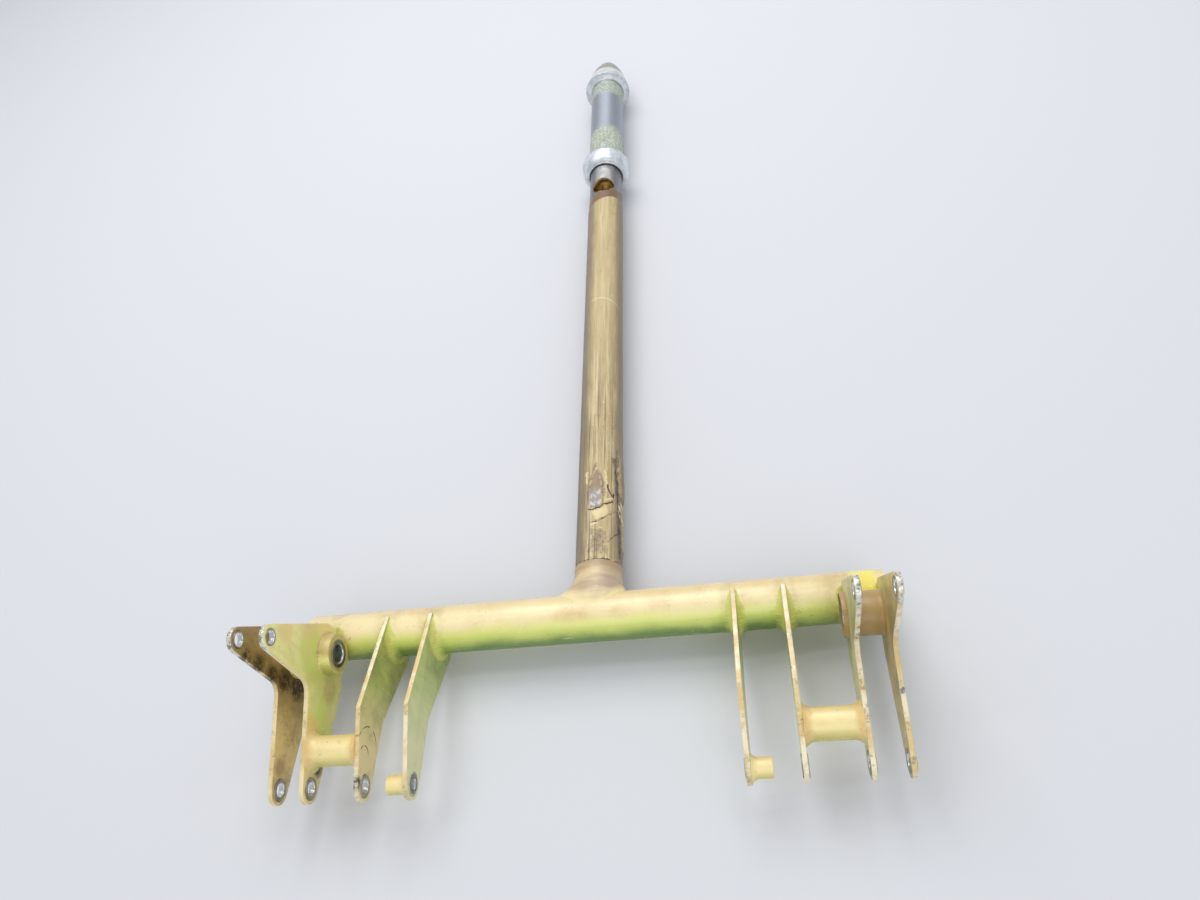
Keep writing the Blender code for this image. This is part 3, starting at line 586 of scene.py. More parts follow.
    def build(self) -> bpy.types.Material:
        """Make the material.

        Returns:
            The material.
        """
        graph = Graph(self.name)
        ragged = graph.clouds(420, 4, 0.7)
        colour = self.soiled(graph, self.colour(graph), ragged)
        bare = self.chipped(graph, ragged)
        grey = graph.mix(graph.step(graph.clouds(420, 4, 0.75, 0.4), 0.48, 0.6),
                         Shade(228, 227, 220), Shade(134, 130, 112))
        colour = graph.mix(bare, colour, grey)
        height = graph.plus(graph.both(graph.clouds(620, 3), 0.35),
                            graph.both(graph.clouds(95, 3), 0.65))
        graph.bump(graph.less(height, graph.both(bare, 0.25)), 0.3, 0.3 * MM)
        gloss = graph.plus(graph.both(graph.clouds(150, 4), 0.2), self.gloss)
        return graph.surface(colour, gloss, graph.both(bare, 0.5))


@dataclass(frozen=True)
class WornMetal:
    """Machined metal with fine turning marks, dull patches and fine dull specks."""

    name: str
    metal: Shade = Shade(176, 178, 180)
    dull: Shade = Shade(120, 118, 112)
    roughness: float = 0.3
    turned_about: Axis = Axis.X
    mark_depth: float = 0.02
    cover: float = 0.4
    metallic: float = 1.0

    def build(self) -> bpy.types.Material:
        """Make the material.

        Returns:
            The material.
        """
        graph = Graph(self.name)
        patches = graph.clouds(190, 5, 0.65, 0.3)
        colour = graph.mix(graph.step(patches, 0.66 - 0.3 * self.cover, 0.8, 0.8),
                           self.metal, self.dull)
        colour = graph.mix(graph.step(graph.clouds(1300, 2, 0.5), 0.62, 0.74, 0.4),
                           colour, self.dull)
        scale = (2600.0, 40.0, 40.0) if self.turned_about is Axis.X else (40.0, 2600.0, 40.0)
        graph.bump(graph.clouds(scale, 2, 0.5), 0.5, self.mark_depth * MM)
        gloss = graph.plus(graph.both(patches, 0.3), self.roughness - 0.1)
        return graph.surface(colour, gloss, self.metallic)


@dataclass(frozen=True)
class CorrodedAluminium:
    """Satin turned aluminium, speckled green and white with corrosion in bands along the grip, with
    painted highlights in the bright bands.
    """

    name: str
    metal: Shade = Shade(168, 175, 184)
    bloom: Shade = Shade(206, 214, 184)
    pits: Shade = Shade(66, 76, 48)
    heavy: tuple[float, float] = (0.0, 0.0)
    light: tuple[float, float] = (0.0, 0.0)
    turned_from: float = math.inf
    lines: tuple[float, ...] = ()
    # Bands along Y that carry painted highlights: mixed towards near-white and made less metallic.
    bright: tuple[Point, ...] = ()
    metallic: float = 1.0

    def build(self) -> bpy.types.Material:
        """Make the material.

        Returns:
            The material.
        """
        graph = Graph(self.name)
        place = graph.plus(graph.y, graph.wander(110, 20 * MM))
        strong = graph.band(place, *self.heavy, 7.0 * MM)
        faint = graph.both(graph.band(place, *self.light, 4.0 * MM), 0.7)
        patches = graph.step(graph.clouds(60, 5, 0.7), 0.58, 0.8, 0.35)
        cover = graph.most(graph.most(strong, faint), patches)
        colour = graph.mix(graph.both(cover, graph.step(graph.clouds(700, 4, 0.75), 0.4, 0.56)),
                           self.metal, self.bloom)
        pitted = graph.both(cover, graph.step(graph.clouds(1200, 4, 0.8), 0.46, 0.56, 0.75))
        colour = graph.mix(pitted, colour, self.pits)
        flecks = graph.both(cover, graph.step(graph.clouds(1300, 3, 0.6), 0.56, 0.64))
        colour = graph.mix(flecks, colour, Shade(244, 246, 236))
        # Painted highlights: the bright bands, mottled, mixed towards near-white.
        shine: Socket | float = 0.0
        for start, end in self.bright:
            shine = graph.plus(shine, graph.band(graph.y, start, end, MM))
        mottled = graph.step(graph.clouds(170, 6, 0.8), 0.38, 0.58, 0.5)
        shine = graph.both(shine, graph.plus(mottled, 0.5))
        colour = graph.mix(graph.both(shine, 0.8), colour, Shade(240, 244, 247))
        for at in self.lines:
            away = graph.unsigned(graph.less(graph.y, at))
            away = graph.plus(away, graph.wander(300, 1.4 * MM))
            near = graph.step(away, 0.7 * MM, 0.2 * MM, 0.6)
            colour = graph.mix(near, colour, Shade(110, 100, 86))
        marks = graph.clouds((30.0, 2200.0, 30.0), 2, 0.5)
        if math.isfinite(self.turned_from):
            rings = graph.step(graph.clouds((9.0, 760.0, 9.0), 4, 0.7), 0.42, 0.62, 0.75)
            beyond = graph.step(graph.y, self.turned_from, self.turned_from + MM)
            colour = graph.mix(graph.both(rings, beyond), colour, Shade(128, 119, 108))
        height = graph.less(graph.both(marks, 0.3), graph.both(pitted, 0.7))
        graph.bump(height, 0.4, 0.06 * MM)
        gloss = graph.plus(graph.both(graph.clouds(230, 4, 0.7), 0.24), 0.34)
        gloss = graph.plus(gloss, graph.both(cover, 0.25))
        metallic = graph.step(cover, 1.3, -0.3, self.metallic)
        metallic = graph.both(metallic, graph.less(1.0, graph.both(shine, 0.4)))
        return graph.surface(colour, gloss, metallic)


@dataclass(frozen=True)
class WoodyWrap:
    """Brown varnished wrap with long grain, cracks, a bare grey patch and a lifted seam, with
    painted shade down its sides and a painted highlight along a fold.

    The mesh's wear attribute carries cracks in red, bare metal in green, pale places and painted
    highlights in blue, and dark brown places, partly painted shadow along the seam, in alpha.
    """

    name: str
    light: Shade = Shade(222, 204, 160)
    mid: Shade = Shade(184, 162, 116)
    dark: Shade = Shade(118, 98, 70)
    # The colour of the painted shade down the wrap's sides.
    side: Shade = Shade(112, 98, 84)
    rough_to: float = 0.0
    crease: float = 0.0
    bare_from: float = 0.0

    def grain(self, graph: Graph) -> Socket:
        """The wrap's colours, with painted shade down its sides and a painted highlight along the
        fold.

        Args:
            graph: The material's nodes.

        Returns:
            The colour.
        """
        long_grain = graph.clouds((330.0, 14.0, 330.0), 5, 0.65, 0.5)
        hair = graph.clouds((1300.0, 45.0, 1300.0), 3, 0.6, 0.2)
        colour = graph.mix(graph.step(long_grain, 0.36, 0.62), self.light, self.mid)
        colour = graph.mix(graph.step(hair, 0.5, 0.68, 0.55), colour, self.dark)
        colour = graph.mix(graph.step(graph.clouds(26, 3), 0.5, 0.72, 0.6), colour, self.mid)
        blots = graph.step(graph.clouds((210.0, 70.0, 210.0), 5, 0.72, 0.4), 0.56, 0.74, 0.6)
        colour = graph.mix(blots, colour, self.dark)
        flecks = graph.step(graph.clouds((900.0, 260.0, 900.0), 3, 0.6), 0.64, 0.72, 0.6)
        colour = graph.mix(flecks, colour, Shade(240, 228, 196))
        streak = graph.step(graph.clouds((520.0, 9.0, 520.0), 4, 0.7, 0.4), 0.52, 0.6, 0.7)
        upper = graph.step(graph.y, self.rough_to, self.rough_to + 90 * MM)
        streak = graph.both(streak, graph.less(1.0, graph.both(upper, 0.75)))
        colour = graph.mix(streak, colour, Shade(104, 82, 56))
        colour = graph.mix(graph.both(upper, 0.55), colour, Shade(196, 177, 130))
        # A pale line along the fold, drooping down the sides: a painted highlight on its raised
        # lip.
        droop = graph.both(graph.less(1.0, graph.facing((0.0, 0.0, 1.0))), 9 * MM)
        near = graph.plus(graph.plus(graph.y, droop), graph.wander(24, 3 * MM))
        near = graph.unsigned(graph.less(near, self.crease))
        colour = graph.mix(graph.step(near, 0.9 * MM, 0.3 * MM, 0.6), colour, Shade(226, 214, 176))
        stripe = graph.both(graph.step(graph.clouds((160.0, 11.0, 160.0), 3, 0.6), 0.54, 0.66),
                            graph.step(graph.facing((-0.5, 0.0, 0.86)), 0.86, 0.98, 0.22))
        colour = graph.mix(stripe, colour, Shade(206, 158, 88))
        # Painted shade down both sides of the wrap, and more on its left side.
        turned = graph.plus(graph.facing((-0.04, 0.0, 1.0)), graph.wander(45, 0.25))
        colour = graph.mix(graph.step(turned, 0.9, 0.35, 0.75), colour, self.side)
        left = graph.plus(graph.facing((-1.0, 0.0, 0.15)), graph.wander(60, 0.3))
        return graph.mix(graph.step(left, 0.35, 0.8, 0.7), colour, Shade(116, 106, 94))

    def build(self) -> bpy.types.Material:
        """Make the material.

        Returns:
            The material.
        """
        graph = Graph(self.name)
        colour = self.grain(graph)
        wear = graph.add("ShaderNodeAttribute", attribute_name="wear")
        parts = graph.add("ShaderNodeSeparateColor")
        graph.join(wear.outputs["Color"], parts.inputs[0])
        crack, bare, pale = parts.outputs
        ragged = graph.wander(520, 0.8)
        # Pale places: faded wrap, and painted highlights along the lifted flap's edges.
        faded_and_glinting = graph.step(graph.plus(pale, ragged), 0.25, 0.85, 0.85)
        colour = graph.mix(faded_and_glinting, colour, Shade(232, 214, 160))
        # Dark brown places: where the outer layer is gone, and painted shadow in the seam under the
        # lifted flap.
        peeled_and_shadowed = graph.step(graph.plus(wear.outputs["Alpha"], ragged), 0.3, 0.75, 0.85)
        colour = graph.mix(peeled_and_shadowed, colour, Shade(92, 76, 66))
        stripped = graph.step(graph.plus(bare, ragged), 0.35, 0.7, 0.92)
        dull = graph.step(graph.plus(graph.y, graph.wander(260, 12 * MM)),
                          self.bare_from - 11 * MM, self.bare_from - 3 * MM)
        shine = graph.mix(graph.step(graph.clouds(300, 4, 0.7), 0.44, 0.62),
                          Shade(148, 142, 142), Shade(206, 213, 218))
        shine = graph.mix(dull, shine, Shade(142, 120, 106))
        colour = graph.mix(stripped, colour, shine)
        lip = graph.both(graph.both(stripped, graph.less(1.0, stripped)), 2.4)
        colour = graph.mix(lip, colour, Shade(138, 108, 76))
        split = graph.step(graph.plus(crack, graph.both(ragged, 0.5)), 0.25, 0.7)
        colour = graph.mix(split, colour, Shade(64, 46, 34))
        grain = graph.plus(graph.both(graph.clouds((330.0, 14.0, 330.0), 5, 0.65, 0.5), 0.6),
                           graph.both(graph.clouds((1300.0, 45.0, 1300.0), 3, 0.6), 0.4))
        graph.bump(grain, 0.6, 0.3 * MM)
        gloss = graph.plus(graph.both(graph.clouds(150, 5, 0.7), 0.3), 0.34)
        return graph.surface(colour, gloss, graph.both(stripped, 0.15))


@dataclass(frozen=True)
class FootWeld:
    """Heat-stained paint over the lever's foot weld, in soft tan and rosy rings, with painted shade
    down its sides.
    """

    name: str
    pale: Shade = Shade(224, 203, 158)
    rosy: Shade = Shade(192, 168, 138)
    base: Shade = Shade(238, 220, 166)
    axis: Point = (0.0, 0.0)

    def build(self) -> bpy.types.Material:
        """Make the material.

        Returns:
            The material.
        """
        graph = Graph(self.name)
        rings = graph.clouds((24.0, 190.0, 24.0), 3, 0.6, 0.8)
        colour = graph.mix(graph.step(rings, 0.4, 0.66), self.pale, self.rosy)
        colour = graph.mix(graph.step(graph.clouds(300, 4, 0.7), 0.6, 0.75, 0.35), colour,
                           Shade(158, 130, 94))
        # Painted shade down both sides of the weld, greyish-rosy.
        for direction in ((-0.5, 0.0, -0.3), (0.8, 0.0, 0.2)):
            reach = graph.plus(graph.facing(direction), graph.wander(60, 0.4))
            colour = graph.mix(graph.step(reach, 0.3, 0.8, 0.6), colour, Shade(172, 153, 140))
        high = graph.plus(graph.y, graph.wander(120, 8 * MM))
        high = graph.step(high, self.axis[0] + 19 * MM, self.axis[0] + 27 * MM, 0.65)
        colour = graph.mix(high, colour, Shade(168, 142, 102))
        low = graph.plus(graph.distance(*self.axis), graph.wander(90, 4 * MM))
        colour = graph.mix(graph.step(low, 16.8 * MM, 13.2 * MM), colour, self.base)
        graph.bump(graph.clouds(260, 4, 0.6), 0.3, 0.35 * MM)
        return graph.surface(colour, 0.4)


class Finishes:
    """The finishes that the sub-assemblies share, each made once."""

    def __init__(self, datum: Datum) -> None:
        """Make every shared material.

        Args:
            datum: The point that the marks' places are measured from.
        """
        y, z = datum.y, datum.z

        def about(centre: Point, reach: float, width: float = 0.5, half: bool = False) -> Spot:
            """A spot round a centre, its reach and width given in millimetres."""
            return Spot(y + centre[0], z + centre[1], reach * MM, width * MM, half)

        def spot(across: float, up: float, reach: float) -> Spot:
            """A spot given in millimetres from the datum."""
            return about((across * MM, up * MM), reach)

        def worn(shade: Shade, reach: float) -> tuple[Spot, Shade]:
            """A patch of another shade round a plate's tip."""
            return about(TIP, reach), shade

        horn_rim = (about(HORN, 7.0), about(TIP, 5.0))
        tip_rim = (about(TIP, 6.5),)
        tip_ring = (about(TIP, 5.3, 0.45),)
        crank_rings = (*tip_ring, about(HORN, 4.3, 0.4))
        arcs = (about(SPACER, 10.4, half=True), about((-70.5 * MM, 13.5 * MM), 4.5, half=True))
        faces, front = Undercoat.PLATE_FACES, Undercoat.LOWER_FRONT
        # Yellow on top of the tube's right end: partly yellow paint and partly a painted pool of
        # light.
        yellow_end = ((138 * MM, 150 * MM, Shade(252, 238, 96)),)
        self.tube = AgedPaint(
            "tube_paint", undercoat=front, chips=0.15, stain_cover=0.1,
            cream=Shade(246, 229, 178), tan=Shade(224, 196, 140), primer=Shade(208, 220, 116),
            primer_light=Shade(232, 234, 136), deep_primer_and_shade=Shade(110, 139, 70), gloss=0.15,
            stain=Shade(150, 124, 78), top_tints=yellow_end,
            dark_bands_at=tuple(x * MM for x in (-134, -106, -81, 80, 105, 132))).build()
        self.weld = AgedPaint(
            "weld_paint", undercoat=front, chips=0.1, stain_cover=0.35,
            cream=Shade(212, 210, 120), tan=Shade(182, 172, 92), primer=Shade(208, 218, 108),
            primer_light=Shade(224, 224, 118), deep_primer_and_shade=Shade(146, 162, 80), gloss=0.16,
            stain=Shade(122, 106, 62), top_tints=yellow_end).build()
        flares = []
        for side in SIDES:
            low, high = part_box(f"cross_spacer_{side}")
            for start in (low.x - MM, high.x - 3 * MM):
                flares.append((start, start + 4 * MM, Shade(232, 198, 134)))
        self.cream = AgedPaint(
            "cream_paint_aged", undercoat=front, cream=Shade(246, 226, 164),
            tan=Shade(226, 196, 132), primer=Shade(232, 216, 142),
            primer_light=Shade(246, 230, 158), deep_primer_and_shade=Shade(206, 196, 110), chips=0.25,
            stain_cover=0.15, gloss=0.16, top_tints=tuple(flares)).build()
        self.crank_far = AgedPaint(
            "crank_paint_brown", undercoat=faces, primer=Shade(178, 152, 100),
            tan=Shade(186, 158, 108), deep_primer_and_shade=Shade(150, 122, 78), rim=Shade(238, 220, 172),
            stain_cover=0.5, chips=0.35, bare_rims=horn_rim,
            # The dark spots down the crook are partly painted shadow cast by the inner bellcrank.
            grime_and_shadow=(spot(-37, 62, 4), spot(-36, 51, 5), spot(-36, 38, 5), spot(-34, 26, 6),
                   spot(-33, 13, 7)), rings=crank_rings,
            patches=(worn(Shade(250, 224, 160), 56.0),
                     (spot(-74, 12, 7), Shade(182, 148, 104)))).build()
        self.crank_near = AgedPaint(
            "crank_paint_olive", undercoat=faces, primer=Shade(255, 250, 172),
            tan=Shade(246, 222, 160), deep_primer_and_shade=Shade(226, 226, 130), rim=Shade(240, 222, 172),
            stain=Shade(158, 130, 78), stain_cover=0.25, chips=0.3, bare_rims=horn_rim,
            grime_and_shadow=(spot(-73, 4, 4), spot(-44, 47, 3)), rings=tip_ring,
            patches=(worn(Shade(226, 206, 148), 24.0), (spot(-22, 61, 10), Shade(250, 222, 150)),
                     (spot(-13, 42, 11), Shade(240, 208, 138)),
                     (spot(-8, 24, 12), Shade(252, 228, 152)),
                     (spot(-24, 34, 14), Shade(224, 238, 128)),
                     (spot(-35, 9, 9), Shade(208, 196, 114)),
                     (spot(-50, 10, 12), Shade(218, 236, 118)),
                     (spot(-57, 18, 8), Shade(248, 212, 126)))).build()
        self.crank_grey = AgedPaint(
            "crank_paint_grey", undercoat=faces, primer=Shade(222, 214, 162),
            tan=Shade(240, 218, 158), deep_primer_and_shade=Shade(176, 176, 128),
            stain_cover=0.3, chips=0.9, bare_rims=horn_rim,
            rings=crank_rings).build()
        self.crank_tan = AgedPaint(
            "crank_paint_tan", undercoat=faces, primer=Shade(238, 218, 156),
            tan=Shade(206, 182, 124), deep_primer_and_shade=Shade(178, 164, 118),
            stain_cover=0.4, chips=0.9, bare_rims=horn_rim,
            rings=crank_rings).build()
        self.arm_olive = AgedPaint(
            "arm_paint_olive", undercoat=faces, primer=Shade(202, 212, 122),
            tan=Shade(214, 196, 142), deep_primer_and_shade=Shade(158, 168, 92),
            stain_cover=0.3, chips=0.6, bare_rims=tip_rim,
            rings=(*tip_ring, *arcs), grime_and_shadow=(spot(-84, 15, 3),),
            patches=(worn(Shade(246, 224, 172), 54.0),)).build()
        self.arm_green = AgedPaint(
            "arm_paint_green", undercoat=faces, primer=Shade(196, 208, 134),
            tan=Shade(216, 214, 158), deep_primer_and_shade=Shade(160, 176, 104),
            stain_cover=0.12, chips=0.45, bare_rims=tip_rim,
            rings=tip_ring, patches=(worn(Shade(230, 226, 176), 54.0),)).build()
        self.sleeve_olive = AgedPaint(
            "pivot_sleeve_olive", undercoat=front, cream=Shade(212, 194, 124),
            tan=Shade(186, 160, 100), primer=Shade(204, 204, 114), deep_primer_and_shade=Shade(172, 176, 92),
            stain=Shade(128, 92, 50), stain_cover=0.6, chips=0.4).build()
        self.sleeve_brown = AgedPaint(
            "pivot_sleeve_brown", cream=Shade(186, 156, 102), tan=Shade(146, 118, 74),
            stain_cover=0.55, chips=0.3).build()
        self.bush = WornMetal("bush_steel_dark", metal=Shade(140, 138, 134), dull=Shade(78, 72, 64),
                              roughness=0.4, cover=0.5).build()
        self.tip_bush = WornMetal("tip_bush_steel", metal=Shade(164, 162, 148),
                                  dull=Shade(92, 86, 72), roughness=0.36, cover=0.7,
                                  metallic=0.7).build()
        self.bore = WornMetal("bore_steel_bright", metal=Shade(226, 228, 228),
                              dull=Shade(150, 150, 144), roughness=0.22, cover=0.1).build()
        self.spring = WornMetal("spring_steel").build()
        self.lever_steel = WornMetal("lever_steel_dark", metal=Shade(146, 146, 148),
                                     dull=Shade(104, 98, 92), roughness=0.42,
                                     turned_about=Axis.Y, cover=0.6).build()
        self.inner_brass = WornMetal("inner_brass", metal=Shade(240, 218, 164),
                                     dull=Shade(206, 178, 120), roughness=0.5,
                                     turned_about=Axis.Y, cover=0.2).build()
        self.wrap = WoodyWrap("woody_wrap", rough_to=y + 120 * MM,
                              crease=y + 230.5 * MM, bare_from=y + 80 * MM).build()
        self.underlayer = AgedPaint("reddish_underlayer", cream=Shade(128, 102, 76),
                                    tan=Shade(98, 72, 54), stain=Shade(78, 60, 48),
                                    stain_cover=0.7, chips=0.7).build()
        self.foot = FootWeld("foot_weld_paint", axis=(y, z)).build()
        mouth = y + GRIP_MOUTH
        # The grip's bright bands are painted highlights on the bead and the flange.
        self.grip = CorrodedAluminium("grip_aluminium", heavy=(mouth + 20 * MM, mouth + 50 * MM),
                                      light=(mouth + 103 * MM, mouth + 121 * MM),
                                      lines=(mouth + 121.8 * MM,),
                                      bright=((mouth - 2 * MM, mouth + 17 * MM),
                                              (mouth + 122.2 * MM, mouth + 128 * MM))).build()
        # The nose's bright band is a painted highlight at its base.
        self.nose = CorrodedAluminium("nose_aluminium", metal=Shade(186, 186, 184), metallic=0.85,
                                      bloom=Shade(176, 168, 154), pits=Shade(92, 84, 70),
                                      light=(mouth + 138 * MM, mouth + 175 * MM),
                                      bright=((mouth + 120 * MM, mouth + 137 * MM),),
                                      turned_from=mouth + 139 * MM).build()


class Bench:
    """The modelling moves that every piece is shaped with."""

    MERGE = 0.01 * MM
    WELD_STEP = 0.5 * MM
    WELD_RIPPLE = 0.29 * MM

    def rest(self) -> None:
        """Leave edit mode and let go of everything."""
        active = bpy.context.view_layer.objects.active
        if active and active.mode != "OBJECT":
            bpy.ops.object.mode_set(mode="OBJECT")
        bpy.ops.object.select_all(action="DESELECT")

    def hold(self, piece: bpy.types.Object) -> None:
        """Make one piece the only one selected, and active.

        Args:
            piece: The piece that is worked on next.
        """
        self.rest()
        piece.select_set(True)
        bpy.context.view_layer.objects.active = piece

    def name(self, piece: bpy.types.Object, name: str) -> bpy.types.Object:
        """Name a piece and its mesh.

        Args:
            piece: The piece.
            name: Its new name.

        Returns:
            The piece.
        """
        piece.name = name
        piece.data.name = name
        return piece

    def trace(self, name: str, points: Sequence[Vector]) -> bpy.types.Object:
        """Extrude one vertex from point to point, and stay in edit mode with all selected.

        Args:
            name: The new piece's name.
            points: The corners of the line, in order.

        Returns:
            The piece, a line of edges.
        """
        self.rest()
        bpy.ops.mesh.primitive_plane_add(size=MM, location=(0.0, 0.0, 0.0))
        piece = self.name(bpy.context.active_object, name)
        bpy.ops.object.mode_set(mode="EDIT")
        bpy.ops.mesh.select_mode(type="VERT")
        bpy.ops.mesh.select_all(action="SELECT")
        bpy.ops.mesh.merge(type="CENTER")
        bpy.ops.transform.translate(value=points[0])
        for before, after in zip(points, points[1:]):
            bpy.ops.mesh.extrude_vertices_move(TRANSFORM_OT_translate={"value": after - before})
        bpy.ops.mesh.select_all(action="SELECT")
        bpy.ops.mesh.remove_doubles(threshold=self.MERGE)
        bpy.ops.mesh.select_all(action="SELECT")
        return piece

    def turned(
        self, name: str, profile: Sequence[Point], axis: Axis, centre: Vector,
        steps: int = 96, hollow: bool = True,
    ) -> bpy.types.Object:
        """Spin a profile of (radius, place along the axis) about a line.

        Args:
            name: The piece's name.
            profile: Points in order; a hollow piece's profile closes on itself.
            axis: The direction of the line.
            centre: A point on the line.
            steps: Facets round the piece.
            hollow: False for a profile that starts and ends on the axis.

        Returns:
            The closed piece, in object mode.
        """
        points = [axis.place(centre, radius, along) for radius, along in profile]
        if hollow:
            points.append(points[0])
        piece = self.trace(name, points)
        bpy.ops.mesh.spin(steps=steps, angle=math.tau, center=centre, axis=axis.value)
        bpy.ops.mesh.select_all(action="SELECT")
        bpy.ops.mesh.remove_doubles(threshold=self.MERGE)
        bpy.ops.mesh.normals_make_consistent(inside=False)
        self.rest()
        return piece

    def plate(self, name: str, outline: Sequence[Point], datum: Datum, x: float,
              thickness: float, bevel: float) -> bpy.types.Object:
        """Trace an outline in Y and Z, thicken it along X and round its rim.

        Args:
            name: The plate's name.
            outline: Points from the datum, in order.
            datum: The frame that the outline is given in.
            x: The middle of the plate's thickness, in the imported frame.
            thickness: The plate's thickness.
            bevel: How much of each rim edge is rounded off.

        Returns:
            The closed plate, in object mode.
        """
        start = x - thickness / 2
        points = [Vector((start, datum.y + y, datum.z + z)) for y, z in outline]
        piece = self.trace(name, [*points, points[0]])
        bpy.ops.mesh.edge_face_add()
        bpy.ops.mesh.extrude_region_move(TRANSFORM_OT_translate={"value": (thickness, 0.0, 0.0)})
        bpy.ops.mesh.select_all(action="SELECT")
        bpy.ops.mesh.normals_make_consistent(inside=False)
        ends = (start, start + thickness)

        def on_rim(edge: bmesh.types.BMEdge) -> bool:
            """Whether an edge lies round one of the plate's two faces."""
            first, second = (vert.co.x for vert in edge.verts)
            return abs(first - second) < MM / 10 and min(abs(first - end) for end in ends) < MM / 10

        self.pick_edges(on_rim)
        bpy.ops.mesh.bevel(offset=bevel, segments=3, affect="EDGES", profile=0.5)
        self.rest()
        return piece

    def pick_edges(self, test: Callable[[bmesh.types.BMEdge], bool]) -> None:
        """Select the edges that pass a test, in edit mode.

        Args:
            test: Says whether an edge is wanted.
        """
        bpy.ops.mesh.select_mode(type="EDGE")
        mesh = bmesh.from_edit_mesh(bpy.context.active_object.data)
        for edge in mesh.edges:
            edge.select_set(test(edge))
        mesh.select_flush_mode()
        bmesh.update_edit_mesh(bpy.context.active_object.data)

    def tube_grid(
        self, name: str, radius: float, centre: Vector, stations: Sequence[float], steps: int,
    ) -> bpy.types.Object:
        """An open tube along Y with a ring of vertices at each station.

        Args:
            name: The new piece's name.
            radius: The tube's radius.
            centre: A point on the tube's axis.
            stations: The places of the rings on Y, in order.
            steps: The number of vertices in a ring.

        Returns:
            The tube.
        """
        self.rest()
        bpy.ops.mesh.primitive_circle_add(
            vertices=steps, radius=radius, fill_type="NOTHING",
            location=(centre.x, stations[0], centre.z), rotation=(math.pi / 2, 0.0, 0.0))
        piece = self.name(bpy.context.active_object, name)
        bpy.ops.object.transform_apply(location=True, rotation=True, scale=True)
        bpy.ops.object.mode_set(mode="EDIT")
        bpy.ops.mesh.select_mode(type="EDGE")
        bpy.ops.mesh.select_all(action="SELECT")
        for before, after in zip(stations, stations[1:]):
            bpy.ops.mesh.extrude_region_move(
                TRANSFORM_OT_translate={"value": (0.0, after - before, 0.0)})
        bpy.ops.mesh.select_all(action="SELECT")
        bpy.ops.mesh.normals_make_consistent(inside=False)
        self.rest()
        return piece

    def modifier(self, piece: bpy.types.Object, kind: str, **settings: object) -> None:
        """Add a modifier and apply it.

        Args:
            piece: The piece.
            kind: The modifier's type.
            settings: The modifier's options and their values.
        """
        self.hold(piece)
        added = piece.modifiers.new(kind.title(), kind)
        for key, value in settings.items():
            setattr(added, key, value)
        bpy.ops.object.modifier_apply(modifier=added.name)

    def soften(self, piece: bpy.types.Object, width: float, segments: int = 2) -> None:
        """Round off the sharp edges."""
        self.modifier(piece, "BEVEL", width=width, segments=segments, limit_method="ANGLE",
                      angle_limit=math.radians(40), harden_normals=False)

    def smooth(self, piece: bpy.types.Object, angle: float = 35.0) -> None:
        """Shade smooth, with corners past the angle kept sharp."""
        self.hold(piece)
        bpy.ops.object.shade_smooth_by_angle(angle=math.radians(angle))

    def bore(self, piece: bpy.types.Object, radius: float, centre: Vector, length: float,
             turn: tuple[float, float, float]) -> None:
        """Cut a round hole through a piece.

        Args:
            piece: The piece that is cut.
            radius: The hole's radius.
            centre: The middle of the hole.
            length: The cutter's length.
            turn: The cutter's turn from Z, as three angles.
        """
        self.rest()
        bpy.ops.mesh.primitive_cylinder_add(vertices=64, radius=radius, depth=length,
                                            location=centre, rotation=turn)
        tool = bpy.context.active_object
        self.modifier(piece, "BOOLEAN", object=tool, operation="DIFFERENCE", solver="EXACT")
        bpy.data.objects.remove(tool, do_unlink=True)

    def copy(self, piece: bpy.types.Object, name: str, shift: Vector) -> bpy.types.Object:
        """Duplicate a piece with a mesh of its own, moved and applied.

        Args:
            piece: The piece that is copied.
            name: The copy's name.
            shift: How far the copy is moved.

        Returns:
            The copy.
        """
        self.hold(piece)
        bpy.ops.object.duplicate(linked=False)
        twin = self.name(bpy.context.active_object, name)
        bpy.ops.transform.translate(value=shift)
        bpy.ops.object.transform_apply(location=True, rotation=True, scale=True)
        self.rest()
        return twin

    def fillet(
        self, name: str, axis: Axis, centre: Vector, profile: Sequence[Point], floor: float,
        start: float = 0.0, sweep: float = math.tau, fades: Point | None = None,
    ) -> bpy.types.Object:
        """A weld: a section spun about a line, uneven like laid metal and fading out at its ends.

        Args:
            name: The weld's name.
            axis: The direction of the line.
            centre: A point on the line.
            profile: Closed section as (radius, place along the axis).
            floor: The radius that the section shrinks to where the weld fades out.
            start: Where the weld begins, as an angle from straight up.
            sweep: How far round it goes.
            fades: The angles over which the first and the last end fade; none for a full ring.

        Returns:
            The closed weld, in object mode.
        """
        points = [axis.place(centre, radius, along) for radius, along in profile]
        piece = self.trace(name, [*points, points[0]])
        steps = max(16, math.ceil(floor * sweep / self.WELD_STEP))
        bpy.ops.mesh.spin(steps=steps, angle=-sweep, center=centre, axis=axis.value)
        bpy.ops.mesh.select_all(action="SELECT")
        bpy.ops.mesh.remove_doubles(threshold=self.MERGE)
        bpy.ops.mesh.fill_holes(sides=0)
        bpy.ops.mesh.select_all(action="SELECT")
        bpy.ops.mesh.normals_make_consistent(inside=False)
        self.rest()
        direction = Vector(axis.value)
        places = [along for _, along in profile]
        middle = (min(places) + max(places)) / 2
        for vert in piece.data.vertices:
            arm = vert.co - centre
            along = axis.along(vert.co)
            arm -= direction * arm.dot(direction)
            side = arm.y if axis is Axis.X else -arm.x
            angle = math.atan2(-side, arm.z) % math.tau
            share = 1.0
            if fades:
